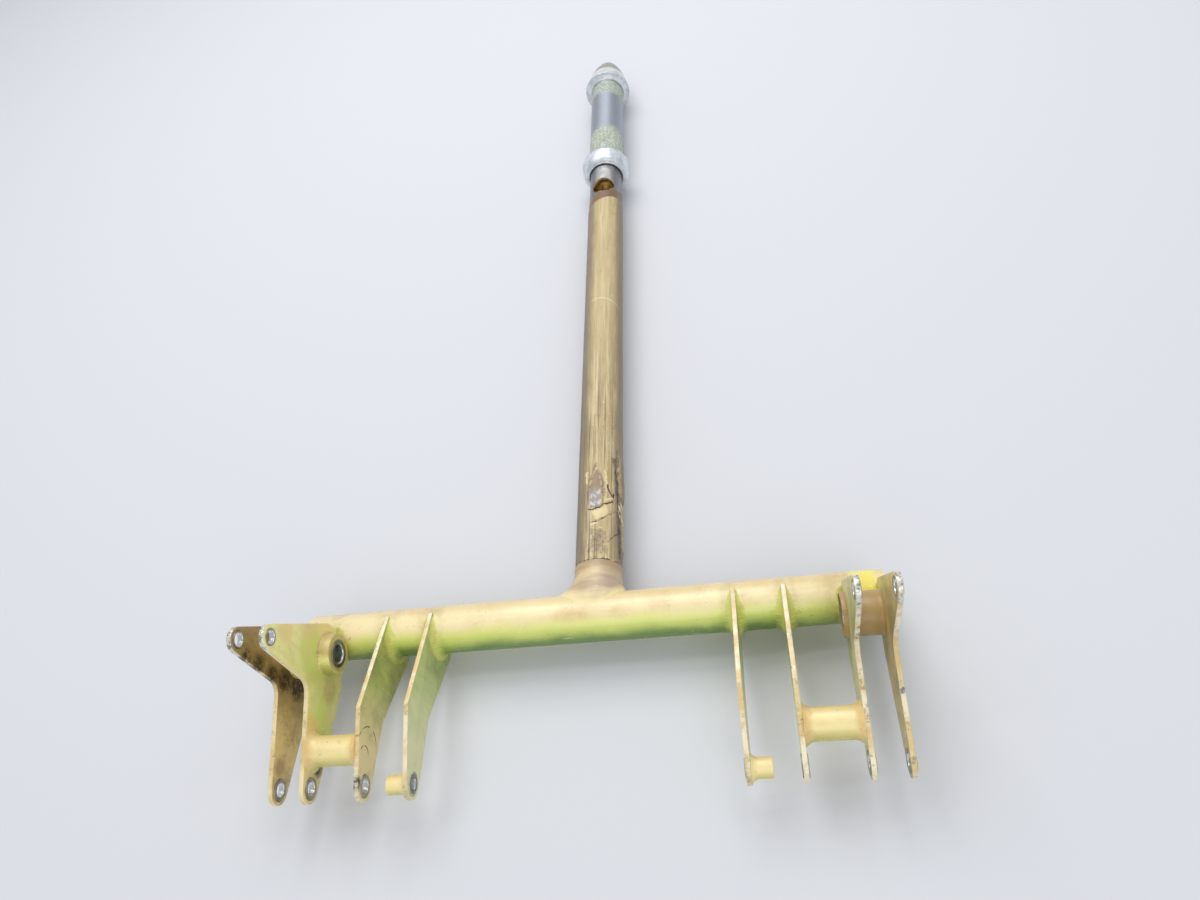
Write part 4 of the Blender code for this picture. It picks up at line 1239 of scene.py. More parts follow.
                # The first section may read as almost a full turn.
                angle = min(angle, sweep) if angle < sweep + 0.1 else 0.0
                share = min(1.0, angle / fades[0], (sweep - angle) / fades[1])
            lump = 0.16 * noise.noise(vert.co * 210.0) + 0.08 * noise.noise(vert.co * 640.0)
            lump += 0.04 * math.sin(angle * floor / self.WELD_RIPPLE)
            radius = floor + (arm.length - floor) * share * (1.0 + lump)
            arm = arm.normalized() * radius
            along = middle + (along - middle) * (0.6 + 0.4 * share) * (1.0 + 0.5 * lump)
            vert.co = centre + arm + direction * (along - axis.along(centre))
        piece.data.transform(Matrix.Translation(centre) @ Matrix.Rotation(start, 4, direction)
                             @ Matrix.Translation(-centre))
        self.smooth(piece, 60.0)
        return piece


BENCH = Bench()

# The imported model, as it was loaded.
FRAME: dict[str, dict] = {}


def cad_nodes() -> dict[str, bpy.types.Object]:
    """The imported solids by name."""
    return FRAME["nodes"]


def fit(
    piece: bpy.types.Object, body: str, finish: bpy.types.Material,
    stands_for: Iterable[str] = (),
) -> bpy.types.Object:
    """Put a finish on a piece, hang it on its body and say which solids it stands for.

    Args:
        piece: The finished piece.
        body: The body that it moves with.
        finish: Its material.
        stands_for: The solids that it replaces.

    Returns:
        The piece.
    """
    piece.data.materials.clear()
    piece.data.materials.append(finish)
    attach(piece, body)
    for node in stands_for:
        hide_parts(node)
    LOG.info("%s on %s", piece.name, body)
    return piece


def line_bore(piece: bpy.types.Object, axis: Axis, line: Vector, limit: float,
              finish: bpy.types.Material) -> None:
    """Give the wall of a bore, up to a radius from its line, a finish of its own.

    Args:
        piece: The piece.
        axis: The bore's direction.
        line: A point on its line.
        limit: The radius up to which a face belongs to the bore.
        finish: The bore's material.
    """
    piece.data.materials.append(finish)
    for face in piece.data.polygons:
        arm = face.center - line
        arm -= Vector(axis.value) * arm.dot(Vector(axis.value))
        if arm.length < limit:
            face.material_index = 1


def concave(foot: Point, root: Point, count: int = 6) -> list[Point]:
    """Points on a hollow quarter ellipse from a weld's foot up to its root.

    Args:
        foot: The weld's foot.
        root: The weld's root.
        count: The number of steps between them.

    Returns:
        The points, ends included.
    """
    points = []
    for k in range(count + 1):
        angle = math.pi / 2 * k / count
        points.append((foot[0] + (root[0] - foot[0]) * (1 - math.cos(angle)),
                       foot[1] + (root[1] - foot[1]) * math.sin(angle)))
    return points


def dress(node: str, finish: bpy.types.Material) -> None:
    """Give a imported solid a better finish.

    Args:
        node: The solid's name.
        finish: Its new material.
    """
    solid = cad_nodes()[node]
    for holder in solid.material_slots:
        holder.material = finish
    LOG.info("%s keeps its solid", node)


def pipe(inner: float, outer: float, start: float, end: float) -> list[Point]:
    """The section of a plain tube, as (radius, place along its line)."""
    return [(inner, start), (outer, start), (outer, end), (inner, end)]


def countersunk(bore: float, outer: float, start: float, end: float, sink: float) -> list[Point]:
    """The section of a bush whose bore widens at both ends.

    Args:
        bore: The bore's radius.
        outer: The bush's outer radius.
        start: Where the bush starts along its line.
        end: Where it ends.
        sink: How far in, and how far out, the bore widens.

    Returns:
        The section, as (radius, place along the line).
    """
    return [(bore, start + sink), (bore + sink, start), (outer, start),
            (outer, end), (bore + sink, end), (bore, end - sink)]


def outward(point: Vector, line: Vector) -> Vector:
    """The direction straight out to a point from a line along Y."""
    return Vector((point.x - line.x, 0.0, point.z - line.z)).normalized()


def arc(centre: Point, radius: float, start: float, end: float) -> list[Point]:
    """Points on an arc from one angle to another, both ends included.

    Args:
        centre: The arc's centre.
        radius: Its radius.
        start: The first angle.
        end: The last angle.

    Returns:
        The points, in order.
    """
    count = max(3, math.ceil(abs(end - start) / math.radians(6)))
    angles = [start + (end - start) * k / count for k in range(count + 1)]
    return [(centre[0] + radius * math.cos(a), centre[1] + radius * math.sin(a)) for a in angles]


def touch(point: Point, centre: Point, radius: float, side: int) -> float:
    """The angle on a circle where a straight edge from a point meets it without a corner.

    Args:
        point: Where the edge starts.
        centre: The circle's centre.
        radius: Its radius.
        side: 1 or -1, for the side that the edge passes on.

    Returns:
        The angle in radians.
    """
    dy, dz = point[0] - centre[0], point[1] - centre[1]
    return math.atan2(dz, dy) + side * math.acos(radius / math.hypot(dy, dz))


def rounded(before: Point, corner: Point, after: Point, radius: float) -> list[Point]:
    """Points that round a corner with a tangent arc.

    Args:
        before: The outline's point before the corner.
        corner: The corner.
        after: The point after it.
        radius: The radius of the rounding.

    Returns:
        The points, in order.
    """
    back = math.atan2(before[1] - corner[1], before[0] - corner[0])
    ahead = math.atan2(after[1] - corner[1], after[0] - corner[0])
    opening = (ahead - back + math.pi) % math.tau - math.pi
    middle = back + opening / 2
    reach = radius / math.sin(abs(opening) / 2)
    centre = (corner[0] + reach * math.cos(middle), corner[1] + reach * math.sin(middle))
    side = 1 if opening > 0 else -1
    start = back - side * math.pi / 2
    sweep = (ahead + side * math.pi / 2 - start + math.pi) % math.tau - math.pi
    return arc(centre, radius, start, start + sweep)


def rounded_end(before: Point, centre: Point, radius: float, after: Point) -> list[Point]:
    """The round end of a plate between two straight edges, clockwise.

    Args:
        before: Where the first edge starts.
        centre: The centre of the end.
        radius: Its radius.
        after: Where the second edge ends.

    Returns:
        The points, in order.
    """
    start = touch(before, centre, radius, -1)
    end = touch(after, centre, radius, 1)
    return arc(centre, radius, start, start - (start - end) % math.tau)


@dataclass
class TorqueTube:
    """The hollow cross tube that every plate is welded to."""

    datum: Datum
    finishes: Finishes
    radius: float = TUBE_RADIUS
    wall: float = 1.65 * MM

    def build(self) -> None:
        """Model the tube with softened ends."""
        low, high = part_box("torque_tube")
        inner = self.radius - self.wall
        profile = pipe(inner, self.radius, low.x, high.x)
        tube = BENCH.turned("torque_tube_shell", profile, Axis.X, self.datum.at(0, 0, 0), 120)
        BENCH.soften(tube, 0.35 * MM)
        BENCH.smooth(tube)
        fit(tube, WELDMENT, self.finishes.tube, ["torque_tube"])


@dataclass
class Plates:
    """The four bellcranks and four drive arms, with the weld beads on their saddles."""

    datum: Datum
    finishes: Finishes
    thickness: float = PLATE_THICKNESS
    rim: float = 0.3 * MM
    tube_radius: float = TUBE_RADIUS
    tip: Point = TIP
    tip_radius: float = 7.3 * MM
    horn: Point = HORN
    horn_radius: float = 6.1 * MM
    pivot: Point = PIVOT
    arm_saddle: Point = (math.radians(74), math.radians(280))
    crank_saddle: Point = (math.radians(98), math.radians(186))

    def saddle(self, limits: Point) -> list[Point]:
        """The hollow edge that sits on the tube, from its upper end round to its lower end.

        Args:
            limits: The angles of its two ends, in radians from +Y towards +Z.

        Returns:
            The points, in order.
        """
        points = arc((0.0, 0.0), self.tube_radius, *limits)
        reach = self.tube_radius + 1.3 * MM
        first = (reach * math.cos(limits[0]), reach * math.sin(limits[0]))
        last = (reach * math.cos(limits[1]), reach * math.sin(limits[1]))
        return [first, *points, last]

    def arm_outline(self) -> list[Point]:
        """Outline of a drive arm, clockwise from the saddle's lower end.

        Returns:
            The points, in order.
        """
        knee, belly = (-50.8 * MM, 26.4 * MM), (-49.5 * MM, -0.9 * MM)
        heel = (-7.6 * MM, -19.2 * MM)
        saddle = self.saddle(self.arm_saddle)
        outline = rounded(saddle[-1], heel, belly, 3.0 * MM)
        outline.append(belly)
        outline += rounded_end(belly, self.tip, self.tip_radius, knee)
        outline += rounded(self.tip, knee, saddle[0], 3.0 * MM)
        return outline + saddle

    def crank_outline(self) -> list[Point]:
        """Outline of a bellcrank, clockwise from the saddle's lower end.

        Returns:
            The points, in order.
        """
        belly, notch = (-28.4 * MM, -3.0 * MM), (-24.6 * MM, -0.4 * MM)
        crook, back = (-38.2 * MM, 30.0 * MM), (-2.8 * MM, 24.2 * MM)
        saddle = self.saddle(self.crank_saddle)
        tip_end = rounded_end(belly, self.tip, self.tip_radius, crook)
        horn_end = rounded_end(crook, self.horn, self.horn_radius, back)
        outline = [notch, belly, *tip_end]
        outline += rounded(tip_end[-1], crook, horn_end[0], 8.0 * MM)
        outline += horn_end
        outline += rounded(horn_end[-1], back, saddle[0], 6.0 * MM)
        return outline + saddle

    def middle(self, node: str) -> float:
        """Where the middle of a plate's thickness lies on X.

        Args:
            node: The plate's name.

        Returns:
            The place on X.
        """
        low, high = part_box(node)
        return (low.x + high.x) / 2

    def first(
        self, node: str, outline: list[Point], bores: Iterable[tuple[Point, float]],
    ) -> bpy.types.Object:
        """Model the first plate of a kind, with its bores.

        Args:
            node: The plate's name.
            outline: Its outline from the datum.
            bores: The centre and radius of each bore.

        Returns:
            The plate.
        """
        x = self.middle(node)
        plate = BENCH.plate(f"{node}_plate", outline, self.datum, x, self.thickness, self.rim)
        for (y, z), radius in bores:
            centre = Vector((x, self.datum.y + y, self.datum.z + z))
            BENCH.bore(plate, radius, centre, 4 * self.thickness, (0.0, math.pi / 2, 0.0))
        BENCH.smooth(plate)
        return plate

    def weld(self, node: str, limits: Point, size: float, fades: Point) -> None:
        """Lay one weld along a plate's saddle, up both of its faces and round its ends.

        Args:
            node: The plate's name.
            limits: The angles of the saddle's two ends, in radians from +Y towards +Z.
            size: How far the weld reaches along the tube and up the plate.
            fades: The degrees over which its upper and lower ends fade.
        """
        x = self.middle(node)
        floor, half = self.tube_radius - 0.4 * MM, self.thickness / 2
        left = concave((self.tube_radius, x - half - size), (self.tube_radius + size, x - half))
        right = [(radius, 2 * x - along) for radius, along in reversed(left)]
        section = [(floor, x - half - size), *left, *right, (floor, x + half + size)]
        past = math.radians(11)
        weld = BENCH.fillet(f"{node}_weld", Axis.X, self.datum.at(0, 0, 0), section, floor,
                            limits[0] - math.pi / 2 - past, limits[1] - limits[0] + 2 * past,
                            (math.radians(fades[0]), math.radians(fades[1])))
        fit(weld, WELDMENT, self.finishes.weld)

    def build(self) -> None:
        """Model one plate of each kind, copy it along the tube and weld all eight."""
        paint = self.finishes
        cranks = (("bellcrank_left_outer", paint.crank_far),
                  ("bellcrank_left_inner", paint.crank_near),
                  ("bellcrank_right_inner", paint.crank_grey),
                  ("bellcrank_right_outer", paint.crank_tan))
        arms = (("drive_arm_left_outer", paint.arm_olive),
                ("drive_arm_right_outer", paint.arm_green))
        stub_arms = (("drive_arm_left_inner", paint.arm_green),
                     ("drive_arm_right_inner", paint.arm_green))
        bush, stub = 5.1 * MM, 4.6 * MM
        crank_bores = ((self.tip, bush), (self.horn, 4.1 * MM), (self.pivot, 10.4 * MM))
        crank_weld = (self.crank_saddle, 2.6 * MM, (9, 9))
        arm_weld = (self.arm_saddle, 4.2 * MM, (66, 12))
        kinds = (
            (cranks, self.crank_outline(), crank_bores, crank_weld),
            (arms, self.arm_outline(), ((self.tip, bush),), arm_weld),
            (stub_arms, self.arm_outline(), ((self.tip, stub),), arm_weld),
        )
        for row, outline, bores, weld in kinds:
            master_node = row[0][0]
            master = self.first(master_node, outline, bores)
            for node, finish in row:
                plate = master
                if node != master_node:
                    shift = Vector((self.middle(node) - self.middle(master_node), 0.0, 0.0))
                    plate = BENCH.copy(master, f"{node}_plate", shift)
                fit(plate, WELDMENT, finish, [node])
                self.weld(node, *weld)


@dataclass
class Pivots:
    """The pivot sleeve of each bellcrank pair, its weld beads and its pressed bushes."""

    datum: Datum
    finishes: Finishes
    centre: Point = PIVOT
    radius: float = 10.5 * MM
    bush_radius: float = 7.2 * MM
    bore: float = 4.76 * MM

    def build(self) -> None:
        """Model both sleeves and all four bushes."""
        line = self.datum.at(0.0, *self.centre)
        for side in SIDES:
            node = f"pivot_sleeve_{side}"
            low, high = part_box(node)
            inner = self.bush_radius - 0.1 * MM
            profile = pipe(inner, self.radius, low.x, high.x)
            sleeve = BENCH.turned(f"{node}_turned", profile, Axis.X, line, 80)
            BENCH.soften(sleeve, 0.4 * MM)
            BENCH.smooth(sleeve)
            finish = self.finishes.sleeve_olive if side == "left" else self.finishes.sleeve_brown
            fit(sleeve, WELDMENT, finish, [node])
            for end in ("inner", "outer"):
                self.bush(f"pivot_bush_{side}_{end}", line)
                self.weld(side, end, line, finish)

    def bush(self, node: str, line: Vector) -> None:
        """Model a bush with a countersunk bore and softened rims.

        Args:
            node: The bush's name.
            line: A point on the pivot's line.
        """
        low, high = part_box(node)
        sink = 0.6 * MM
        profile = countersunk(self.bore, self.bush_radius, low.x, high.x, sink)
        bush = BENCH.turned(f"{node}_turned", profile, Axis.X, line, 64)
        BENCH.soften(bush, 0.2 * MM)
        BENCH.smooth(bush)
        fit(bush, WELDMENT, self.finishes.bush, [node])
        line_bore(bush, Axis.X, line, self.bore + 0.7 * sink, self.finishes.bore)

    def weld(self, side: str, end: str, line: Vector, finish: bpy.types.Material) -> None:
        """Lay a weld where the sleeve passes through a bellcrank.

        Args:
            side: The side's name, left or right.
            end: The end's name, inner or outer.
            line: A point on the pivot's line.
            finish: The weld's material.
        """
        low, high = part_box(f"bellcrank_{side}_{end}")
        middle, half = (low.x + high.x) / 2, PLATE_THICKNESS / 2
        size, floor = 2.3 * MM, self.radius - 0.3 * MM
        way = 1 if side == "left" else -1
        left = concave((self.radius, middle - half - size), (self.radius + 1.1 * MM, middle - half))
        right = [(radius, 2 * middle - along) for radius, along in reversed(left)]
        if end == "outer":
            cut = (self.radius + 0.7 * MM, middle - way * (half - 0.3 * MM))
            rise = right if way > 0 else left[::-1]
            section = [(floor, cut[1]), cut, *rise, (floor, middle + way * (half + size))]
        else:
            section = [(floor, middle - half - size), *left, *right, (floor, middle + half + size)]
        weld = BENCH.fillet(f"pivot_weld_{side}_{end}", Axis.X, line, section, floor)
        fit(weld, WELDMENT, finish)


@dataclass
class TipHardware:
    """Pressed bushes of the tips and horns, and the stub bushes of the inner arms."""

    datum: Datum
    finishes: Finishes
    bore: float = 3.175 * MM
    tip: Point = TIP
    horn: Point = HORN

    def row(self, nodes: Sequence[str], radius: float, centre: Point) -> None:
        """Model the first bush of a row and copy it to the others.

        Args:
            nodes: The names of the row's bushes.
            radius: Their outer radius.
            centre: Where their line crosses the side view.
        """
        line = self.datum.at(0.0, *centre)
        low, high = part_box(nodes[0])
        sink = 0.35 * MM
        profile = countersunk(self.bore, radius, low.x, high.x, sink)
        first = BENCH.turned(f"{nodes[0]}_turned", profile, Axis.X, line, 48)
        BENCH.soften(first, 0.15 * MM)
        BENCH.smooth(first)
        for node in nodes:
            bush = first
            if node != nodes[0]:
                shift = Vector((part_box(node)[0].x - low.x, 0.0, 0.0))
                bush = BENCH.copy(first, f"{node}_turned", shift)
            fit(bush, WELDMENT, self.finishes.tip_bush, [node])
            line_bore(bush, Axis.X, line, self.bore + 0.7 * sink, self.finishes.bore)

    def stub(self, side: str) -> None:
        """Model a stub bush with its weld at the arm.

        Args:
            side: The side's name, left or right.
        """
        node = f"stub_bush_{side}"
        way = -1 if side == "left" else 1
        line = self.datum.at(0.0, *self.tip)
        low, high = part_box(node)
        root, end = (high.x, low.x) if way < 0 else (low.x, high.x)
        radius = 4.7 * MM
        face = root + way * 2.8 * MM
        sink = way * 0.3 * MM
        height, reach = 1.9 * MM, 3.4
        skirt = [(radius + height * (1 - run / reach) ** 2, face + way * (run * MM))
                 for run in (0.0, 0.5, 1.1, 1.9, 2.6)]
        profile = [(self.bore, root), (radius, root), (radius, face), *skirt,
                   (radius, face + way * reach * MM), (radius, end),
                   (self.bore + 0.3 * MM, end), (self.bore, end - sink)]
        stub = BENCH.turned(f"{node}_turned", profile, Axis.X, line, 56)
        BENCH.soften(stub, 0.25 * MM)
        BENCH.smooth(stub, 50.0)
        fit(stub, WELDMENT, self.finishes.cream, [node])
        line_bore(stub, Axis.X, line, self.bore + 0.2 * MM, self.finishes.bore)
        stub.data.materials.append(self.finishes.bush)
        for face in stub.data.polygons:
            if abs(face.center.x - root) < 0.4 * MM:
                face.material_index = 2

    def build(self) -> None:
        """Model every bush."""
        tips = [f"tip_bush_{side}_{end}" for side in SIDES for end in ("outer", "inner", "arm")]
        horns = [f"horn_bush_{side}_{end}" for side in SIDES for end in ("outer", "inner")]
        self.row(tips, 5.2 * MM, self.tip)
        self.row(horns, 4.2 * MM, self.horn)
        for side in SIDES:
            self.stub(side)


@dataclass
class Spacers:
    """The cross tubes between each outer arm and the bellcrank beside it."""

    datum: Datum
    finishes: Finishes
    centre: Point = SPACER
    radius: float = 7.5 * MM
    flare: float = 2.6 * MM

    def build(self) -> None:
        """Model one spacer with flared welds, and copy it to the other side."""
        line = self.datum.at(0.0, *self.centre)
        low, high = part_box("cross_spacer_left")
        bore = self.radius - 2.0 * MM
        gap = 0.3 * MM
        left: list[Point] = []
        steps = 10
        for k in range(steps + 1):
            share = k / steps
            swell = self.flare * (1 - math.sin(share * math.pi / 2)) ** 1.2
            left.append((self.radius + swell, low.x - gap + share * 5.2 * MM))
        right = [(radius, low.x + high.x - along) for radius, along in reversed(left)]
        profile = [(bore, high.x + gap), (bore, low.x - gap), *left, *right]
        spacer = BENCH.turned("cross_spacer_left_turned", profile, Axis.X, line, 96)
        for vert in spacer.data.vertices:
            arm = Vector((0.0, vert.co.y - line.y, vert.co.z - line.z))
            if arm.length > self.radius - 0.1 * MM:
                lump = 0.3 * noise.noise(vert.co * 190.0) + 0.12 * noise.noise(vert.co * 600.0)
                vert.co += arm.normalized() * (arm.length - self.radius + 0.15 * MM) * lump
        BENCH.smooth(spacer, 50.0)
        fit(spacer, WELDMENT, self.finishes.cream, ["cross_spacer_left"])
        shift = Vector((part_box("cross_spacer_right")[0].x - low.x, 0.0, 0.0))
        twin = BENCH.copy(spacer, "cross_spacer_right_turned", shift)
        fit(twin, WELDMENT, self.finishes.cream, ["cross_spacer_right"])


# What a mark on the wrap shows: the channel of the mesh's wear attribute that it is written to.
# Pale marks include painted highlights, and brown marks painted shadow along the seam.
CRACK, BARE, PALE, BROWN = range(4)


@dataclass(frozen=True)
class Mark:
    """A crack, seam, patch, painted highlight or painted shadow on the wrap, as a line of (place
    along, degrees round) points.

    A closed mark covers the inside of its line.
    """

    line: tuple[Point, ...]
    width: float
    depth: float
    channel: int
    strength: float = 1.0
    closed: bool = False

    def reach(self, spot: Vector, scale: float) -> float:
        """How strongly the mark shows at a spot, from 0 to 1.

        Args:
            spot: Millimetres along the lever and round it.
            scale: Millimetres for each degree round.

        Returns:
            The strength.
        """
        corners = [Vector((along, degrees * scale)) for along, degrees in self.line]
        ends = corners[1:] + corners[:1] if self.closed else corners[1:]
        nearest, inside = math.inf, False
        for a, b in zip(corners, ends):
            run = b - a
            share = min(max((spot - a).dot(run) / run.length_squared, 0.0), 1.0)
            nearest = min(nearest, (spot - a - run * share).length)
            if (a.y > spot.y) != (b.y > spot.y):
                inside ^= spot.x < a.x + run.x * (spot.y - a.y) / run.y
        if self.closed:
            away = -nearest if inside else nearest
            return min(max(0.5 - away / self.width, 0.0), 1.0)
        return max(0.0, 1.0 - (nearest / self.width) ** 2)


@dataclass
class LeverArm:
    """The lever's steel tube, its foot weld, its worn wrap and what shows beneath the wrap."""

    datum: Datum
    finishes: Finishes
    radius: float = 12.4 * MM
    bore: float = 10.75 * MM
    wrap_radius: float = 13.1 * MM
    hole_radius: float = 8.4 * MM
    hole_place: float = 357.5 * MM
    slant: float = math.tan(math.radians(20))
    wrap_top: float = 339.6 * MM
    damaged_to: float = 96 * MM
    marked_to: float = 125.0
    marked_round: float = 130.0
    marks: tuple[Mark, ...] = (
        Mark(((60.2, -17), (59.9, -5), (62.3, 17), (65.8, 46)), 0.55, 0.3, CRACK, 0.9),
        Mark(((51.0, -12), (52.3, 8), (56.5, 37), (60.0, 58)), 0.45, 0.2, CRACK, 0.6),
        Mark(((39.5, 33), (48.1, 72)), 0.42, 0.18, CRACK, 0.7),
        Mark(((76.4, 31), (72.0, 36), (69.2, 46), (71.0, 50)), 0.55, 0.25, CRACK, 0.9),
        Mark(((89.0, 55), (79.0, 60), (68.9, 63), (50.0, 69), (32.8, 72)), 0.6, 0.35, CRACK, 0.6),
        Mark(((31.0, 92), (37.5, 97), (34.0, 108), (30.0, 108)), 0.8, 0.45, CRACK, 1.0, True),
        Mark(((76.0, -15), (80.0, -9), (87.4, 3), (80.0, 9), (73.0, 12), (61.4, 11), (61.6, -13)),
             2.2, 0.2, BARE, 0.95, True),
        Mark(((86.0, 6), (78.0, 18), (70.0, 20)), 1.6, 0.05, BROWN, 0.55),
        Mark(((91.0, 0), (86.0, -7), (80.0, -14)), 1.4, 0.05, BROWN, 0.5),
        # The next three brown marks follow the seam: where the outer layer is gone, partly painted
        # shadow under the lifted flap.
        Mark(((97.0, 48), (88.0, 56), (74.0, 60), (66.0, 66)), 2.2, 0.1, BROWN, 0.62),
        Mark(((60.0, 66), (50.0, 68), (33.0, 72)), 2.6, 0.1, BROWN, 0.6),
        Mark(((104.0, 58), (92.0, 60)), 1.6, 0.05, BROWN, 0.6),
        # The next five pale marks lie along the lifted flap: painted highlights on its raised
        # edges.
        Mark(((96.0, 76), (84.0, 82), (74.0, 88)), 4.6, -1.1, PALE, 0.3),
        Mark(((64.0, 80), (52.0, 86), (40.0, 92)), 4.0, -0.6, PALE, 0.5),
        Mark(((69.0, 66), (66.0, 78)), 0.9, -0.3, PALE, 1.0),
        Mark(((64.0, 68), (61.0, 64), (57.5, 70)), 0.7, -0.3, PALE, 1.0),
        Mark(((59.0, 70), (55.0, 84)), 0.7, -0.1, PALE, 1.0),
        Mark(((58.6, -8), (60.6, 20), (62.6, 34), (55.5, 30), (53.0, 2)),
             2.2, -0.12, PALE, 0.75, True),
        Mark(((55.6, 2), (58.0, 20)), 0.8, -0.14, PALE, 1.0),
        Mark(((50.0, -8), (51.0, 4)), 0.7, -0.1, PALE, 1.0),
        Mark(((66.0, 28), (68.5, 44)), 1.2, -0.08, PALE, 0.7),
        Mark(((79.0, -25), (86.0, -26)), 1.1, -0.05, PALE, 0.9),
        Mark(((86.0, 22), (78.0, 28)), 0.6, -0.06, PALE, 1.0),
        Mark(((47.0, 4), (47.6, 18)), 0.4, -0.08, PALE, 0.9),
        Mark(((48.0, -10), (46.0, 30), (31.0, 34), (32.0, -20)), 5.0, 0.02, BROWN, 0.5, True),
        Mark(((29.2, -60), (28.6, -23), (29.3, 14), (30.2, 53), (30.5, 80)), 1.0, 0.1, BROWN, 0.36),
    )

    def build(self) -> None:
        """Model the arm from its steel tube outwards."""
        self.steel_tube()
        self.wrap()
        self.underlayer()
        self.foot()
        dress("spring_plug", self.finishes.inner_brass)
        dress("return_spring", self.finishes.spring)
        for side in SIDES:
            dress(f"plug_rivet_{side}", self.finishes.bush)

    def steel_tube(self) -> None:
        """The steel tube, cut for its access hole, with a brassy inner wall."""
        _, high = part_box("lever_tube")
        line = self.datum.at(0, 0, 0)
        start = self.datum.y + 11.0 * MM
        profile = pipe(self.bore, self.radius, start, high.y)
        tube = BENCH.turned("lever_tube_shell", profile, Axis.Y, line, 96)
        place = self.datum.at(0.0, self.hole_place, self.radius)
        BENCH.bore(tube, self.hole_radius, place, 2 * self.radius, (0.0, 0.0, 0.0))
        BENCH.soften(tube, 0.25 * MM)
        BENCH.smooth(tube)
        fit(tube, WELDMENT, self.finishes.lever_steel, ["lever_tube"])
        line_bore(tube, Axis.Y, line, (self.bore + self.radius) / 2, self.finishes.inner_brass)

    def wear(self, along: float, degrees: float) -> tuple[float, list[float]]:
        """How the marks change the wrap at a place.

        Args:
            along: Millimetres from the torque tube's axis.
            degrees: Round the lever, from straight up towards +X.

        Returns:
            The dip in millimetres, and the strength of each channel.
        """
        dip, channels = 0.0, [0.0, 0.0, 0.0, 0.0]
        if along > self.marked_to or abs(degrees) > self.marked_round:
            return dip, channels
        scale = math.pi * self.wrap_radius / MM / 180
        spot = Vector((along, degrees * scale))
        for scale_up, push in ((0.3, 0.9), (1.1, 0.45)):
            spot += push * Vector((noise.noise(Vector((*(spot * scale_up), 1.0))),
                                   noise.noise(Vector((*(spot * scale_up), 5.0)))))
        for mark in self.marks:
            reach = mark.reach(spot, scale)
            dip += reach * mark.depth
            value = min(1.0, reach * 1.5) * mark.strength
            channels[mark.channel] = max(channels[mark.channel], value)
        return dip, channels

    def polar(self, point: Vector) -> tuple[float, float]:
        """A point's place along the lever in millimetres and its degrees from straight up.

        Args:
            point: A point on or near the lever.

        Returns:
            The place and the angle.
        """
        offset = point - self.datum.at(0, 0, 0)
        return offset.y / MM, math.degrees(math.atan2(offset.x, offset.z))

    def wrap(self) -> None:
        """The worn wrap: a grid round the tube, dented by its marks and ragged at its ends."""
        low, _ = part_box("lever_sleeve")
        start = low.y + 0.2 * MM
        top = self.wrap_top + self.datum.y
        stations = [start]
        while stations[-1] < top:
            damaged = stations[-1] < self.datum.y + self.damaged_to
            stations.append(stations[-1] + (0.55 * MM if damaged else 2.4 * MM))
        stations[-1] = top
        line = self.datum.at(0, 0, 0)
        wrap = BENCH.tube_grid("lever_wrap", self.wrap_radius, line, stations, 168)
        for vert in wrap.data.vertices:
            along, degrees = self.polar(vert.co)
            dip, _ = self.wear(along, degrees)
            arm = outward(vert.co, line)
            lump = 0.09 * noise.noise(Vector((arm.x * 3, along * 0.045, arm.z * 3)))
            lump += 0.05 * noise.noise(Vector((arm.x * 14, along * 0.12, arm.z * 14)))
            radius = self.wrap_radius + (lump - min(dip, 0.42)) * MM
            y = vert.co.y
            share = (y - start) / (top - start)
            jag = 1.5 * noise.noise(Vector((arm.x * 5, 9.0, arm.z * 5)))
            jag += 0.9 * noise.noise(Vector((arm.x * 20, 3.0, arm.z * 20)))
            y += jag * MM * max(0.0, 1.0 - share * 40)
            y += (arm.x * self.wrap_radius * self.slant + 0.4 * jag * MM) * share ** 12
            vert.co = Vector((line.x + arm.x * radius, y, line.z + arm.z * radius))
        BENCH.modifier(wrap, "SOLIDIFY", thickness=0.6 * MM, offset=-1.0, use_even_offset=False)
        self.paint_wear(wrap)
        BENCH.smooth(wrap, 50.0)
        fit(wrap, WELDMENT, self.finishes.wrap, ["lever_sleeve"])

    def paint_wear(self, wrap: bpy.types.Object) -> None:
        """Write the marks into the mesh's wear attribute.

        Args:
            wrap: The wrap's mesh.
        """
        layer = wrap.data.color_attributes.new("wear", "FLOAT_COLOR", "POINT")
        for vert, value in zip(wrap.data.vertices, layer.data):
            value.color = self.wear(*self.polar(vert.co))[1]

    def underlayer(self) -> None:
        """The reddish layer that shows between the wrap's upper end and the access hole."""
        line = self.datum.at(0, 0, 0)
        bottom, top = 333.0, 350.0
        low, high = self.datum.y + bottom * MM, self.datum.y + top * MM
        stations = [low + (high - low) * k / 6 for k in range(7)]
        layer = BENCH.tube_grid("wrap_underlayer", self.radius + 0.32 * MM, line, stations, 120)
        for vert in layer.data.vertices:
            arm = outward(vert.co, line)
            share = (vert.co.y - low) / (high - low)
            rise = 4.5 * arm.x + 0.9 * noise.noise(arm * 5) + (1.5 if arm.z < 0.3 else 0.0)
            rise += 0.8 * noise.noise(arm * 16) - 0.4
            if arm.z > 0.3 and abs(arm.x) < 0.7:
                across = arm.x * self.radius
                reach = math.sqrt(max((self.hole_radius + 0.4 * MM) ** 2 - across ** 2, 0.0))
                rise = min(rise, (self.hole_place - reach) / MM - top)
            vert.co.y += rise * MM * share
        BENCH.modifier(layer, "SOLIDIFY", thickness=0.28 * MM, offset=-1.0, use_even_offset=False)
        BENCH.smooth(layer)
        fit(layer, WELDMENT, self.finishes.underlayer)

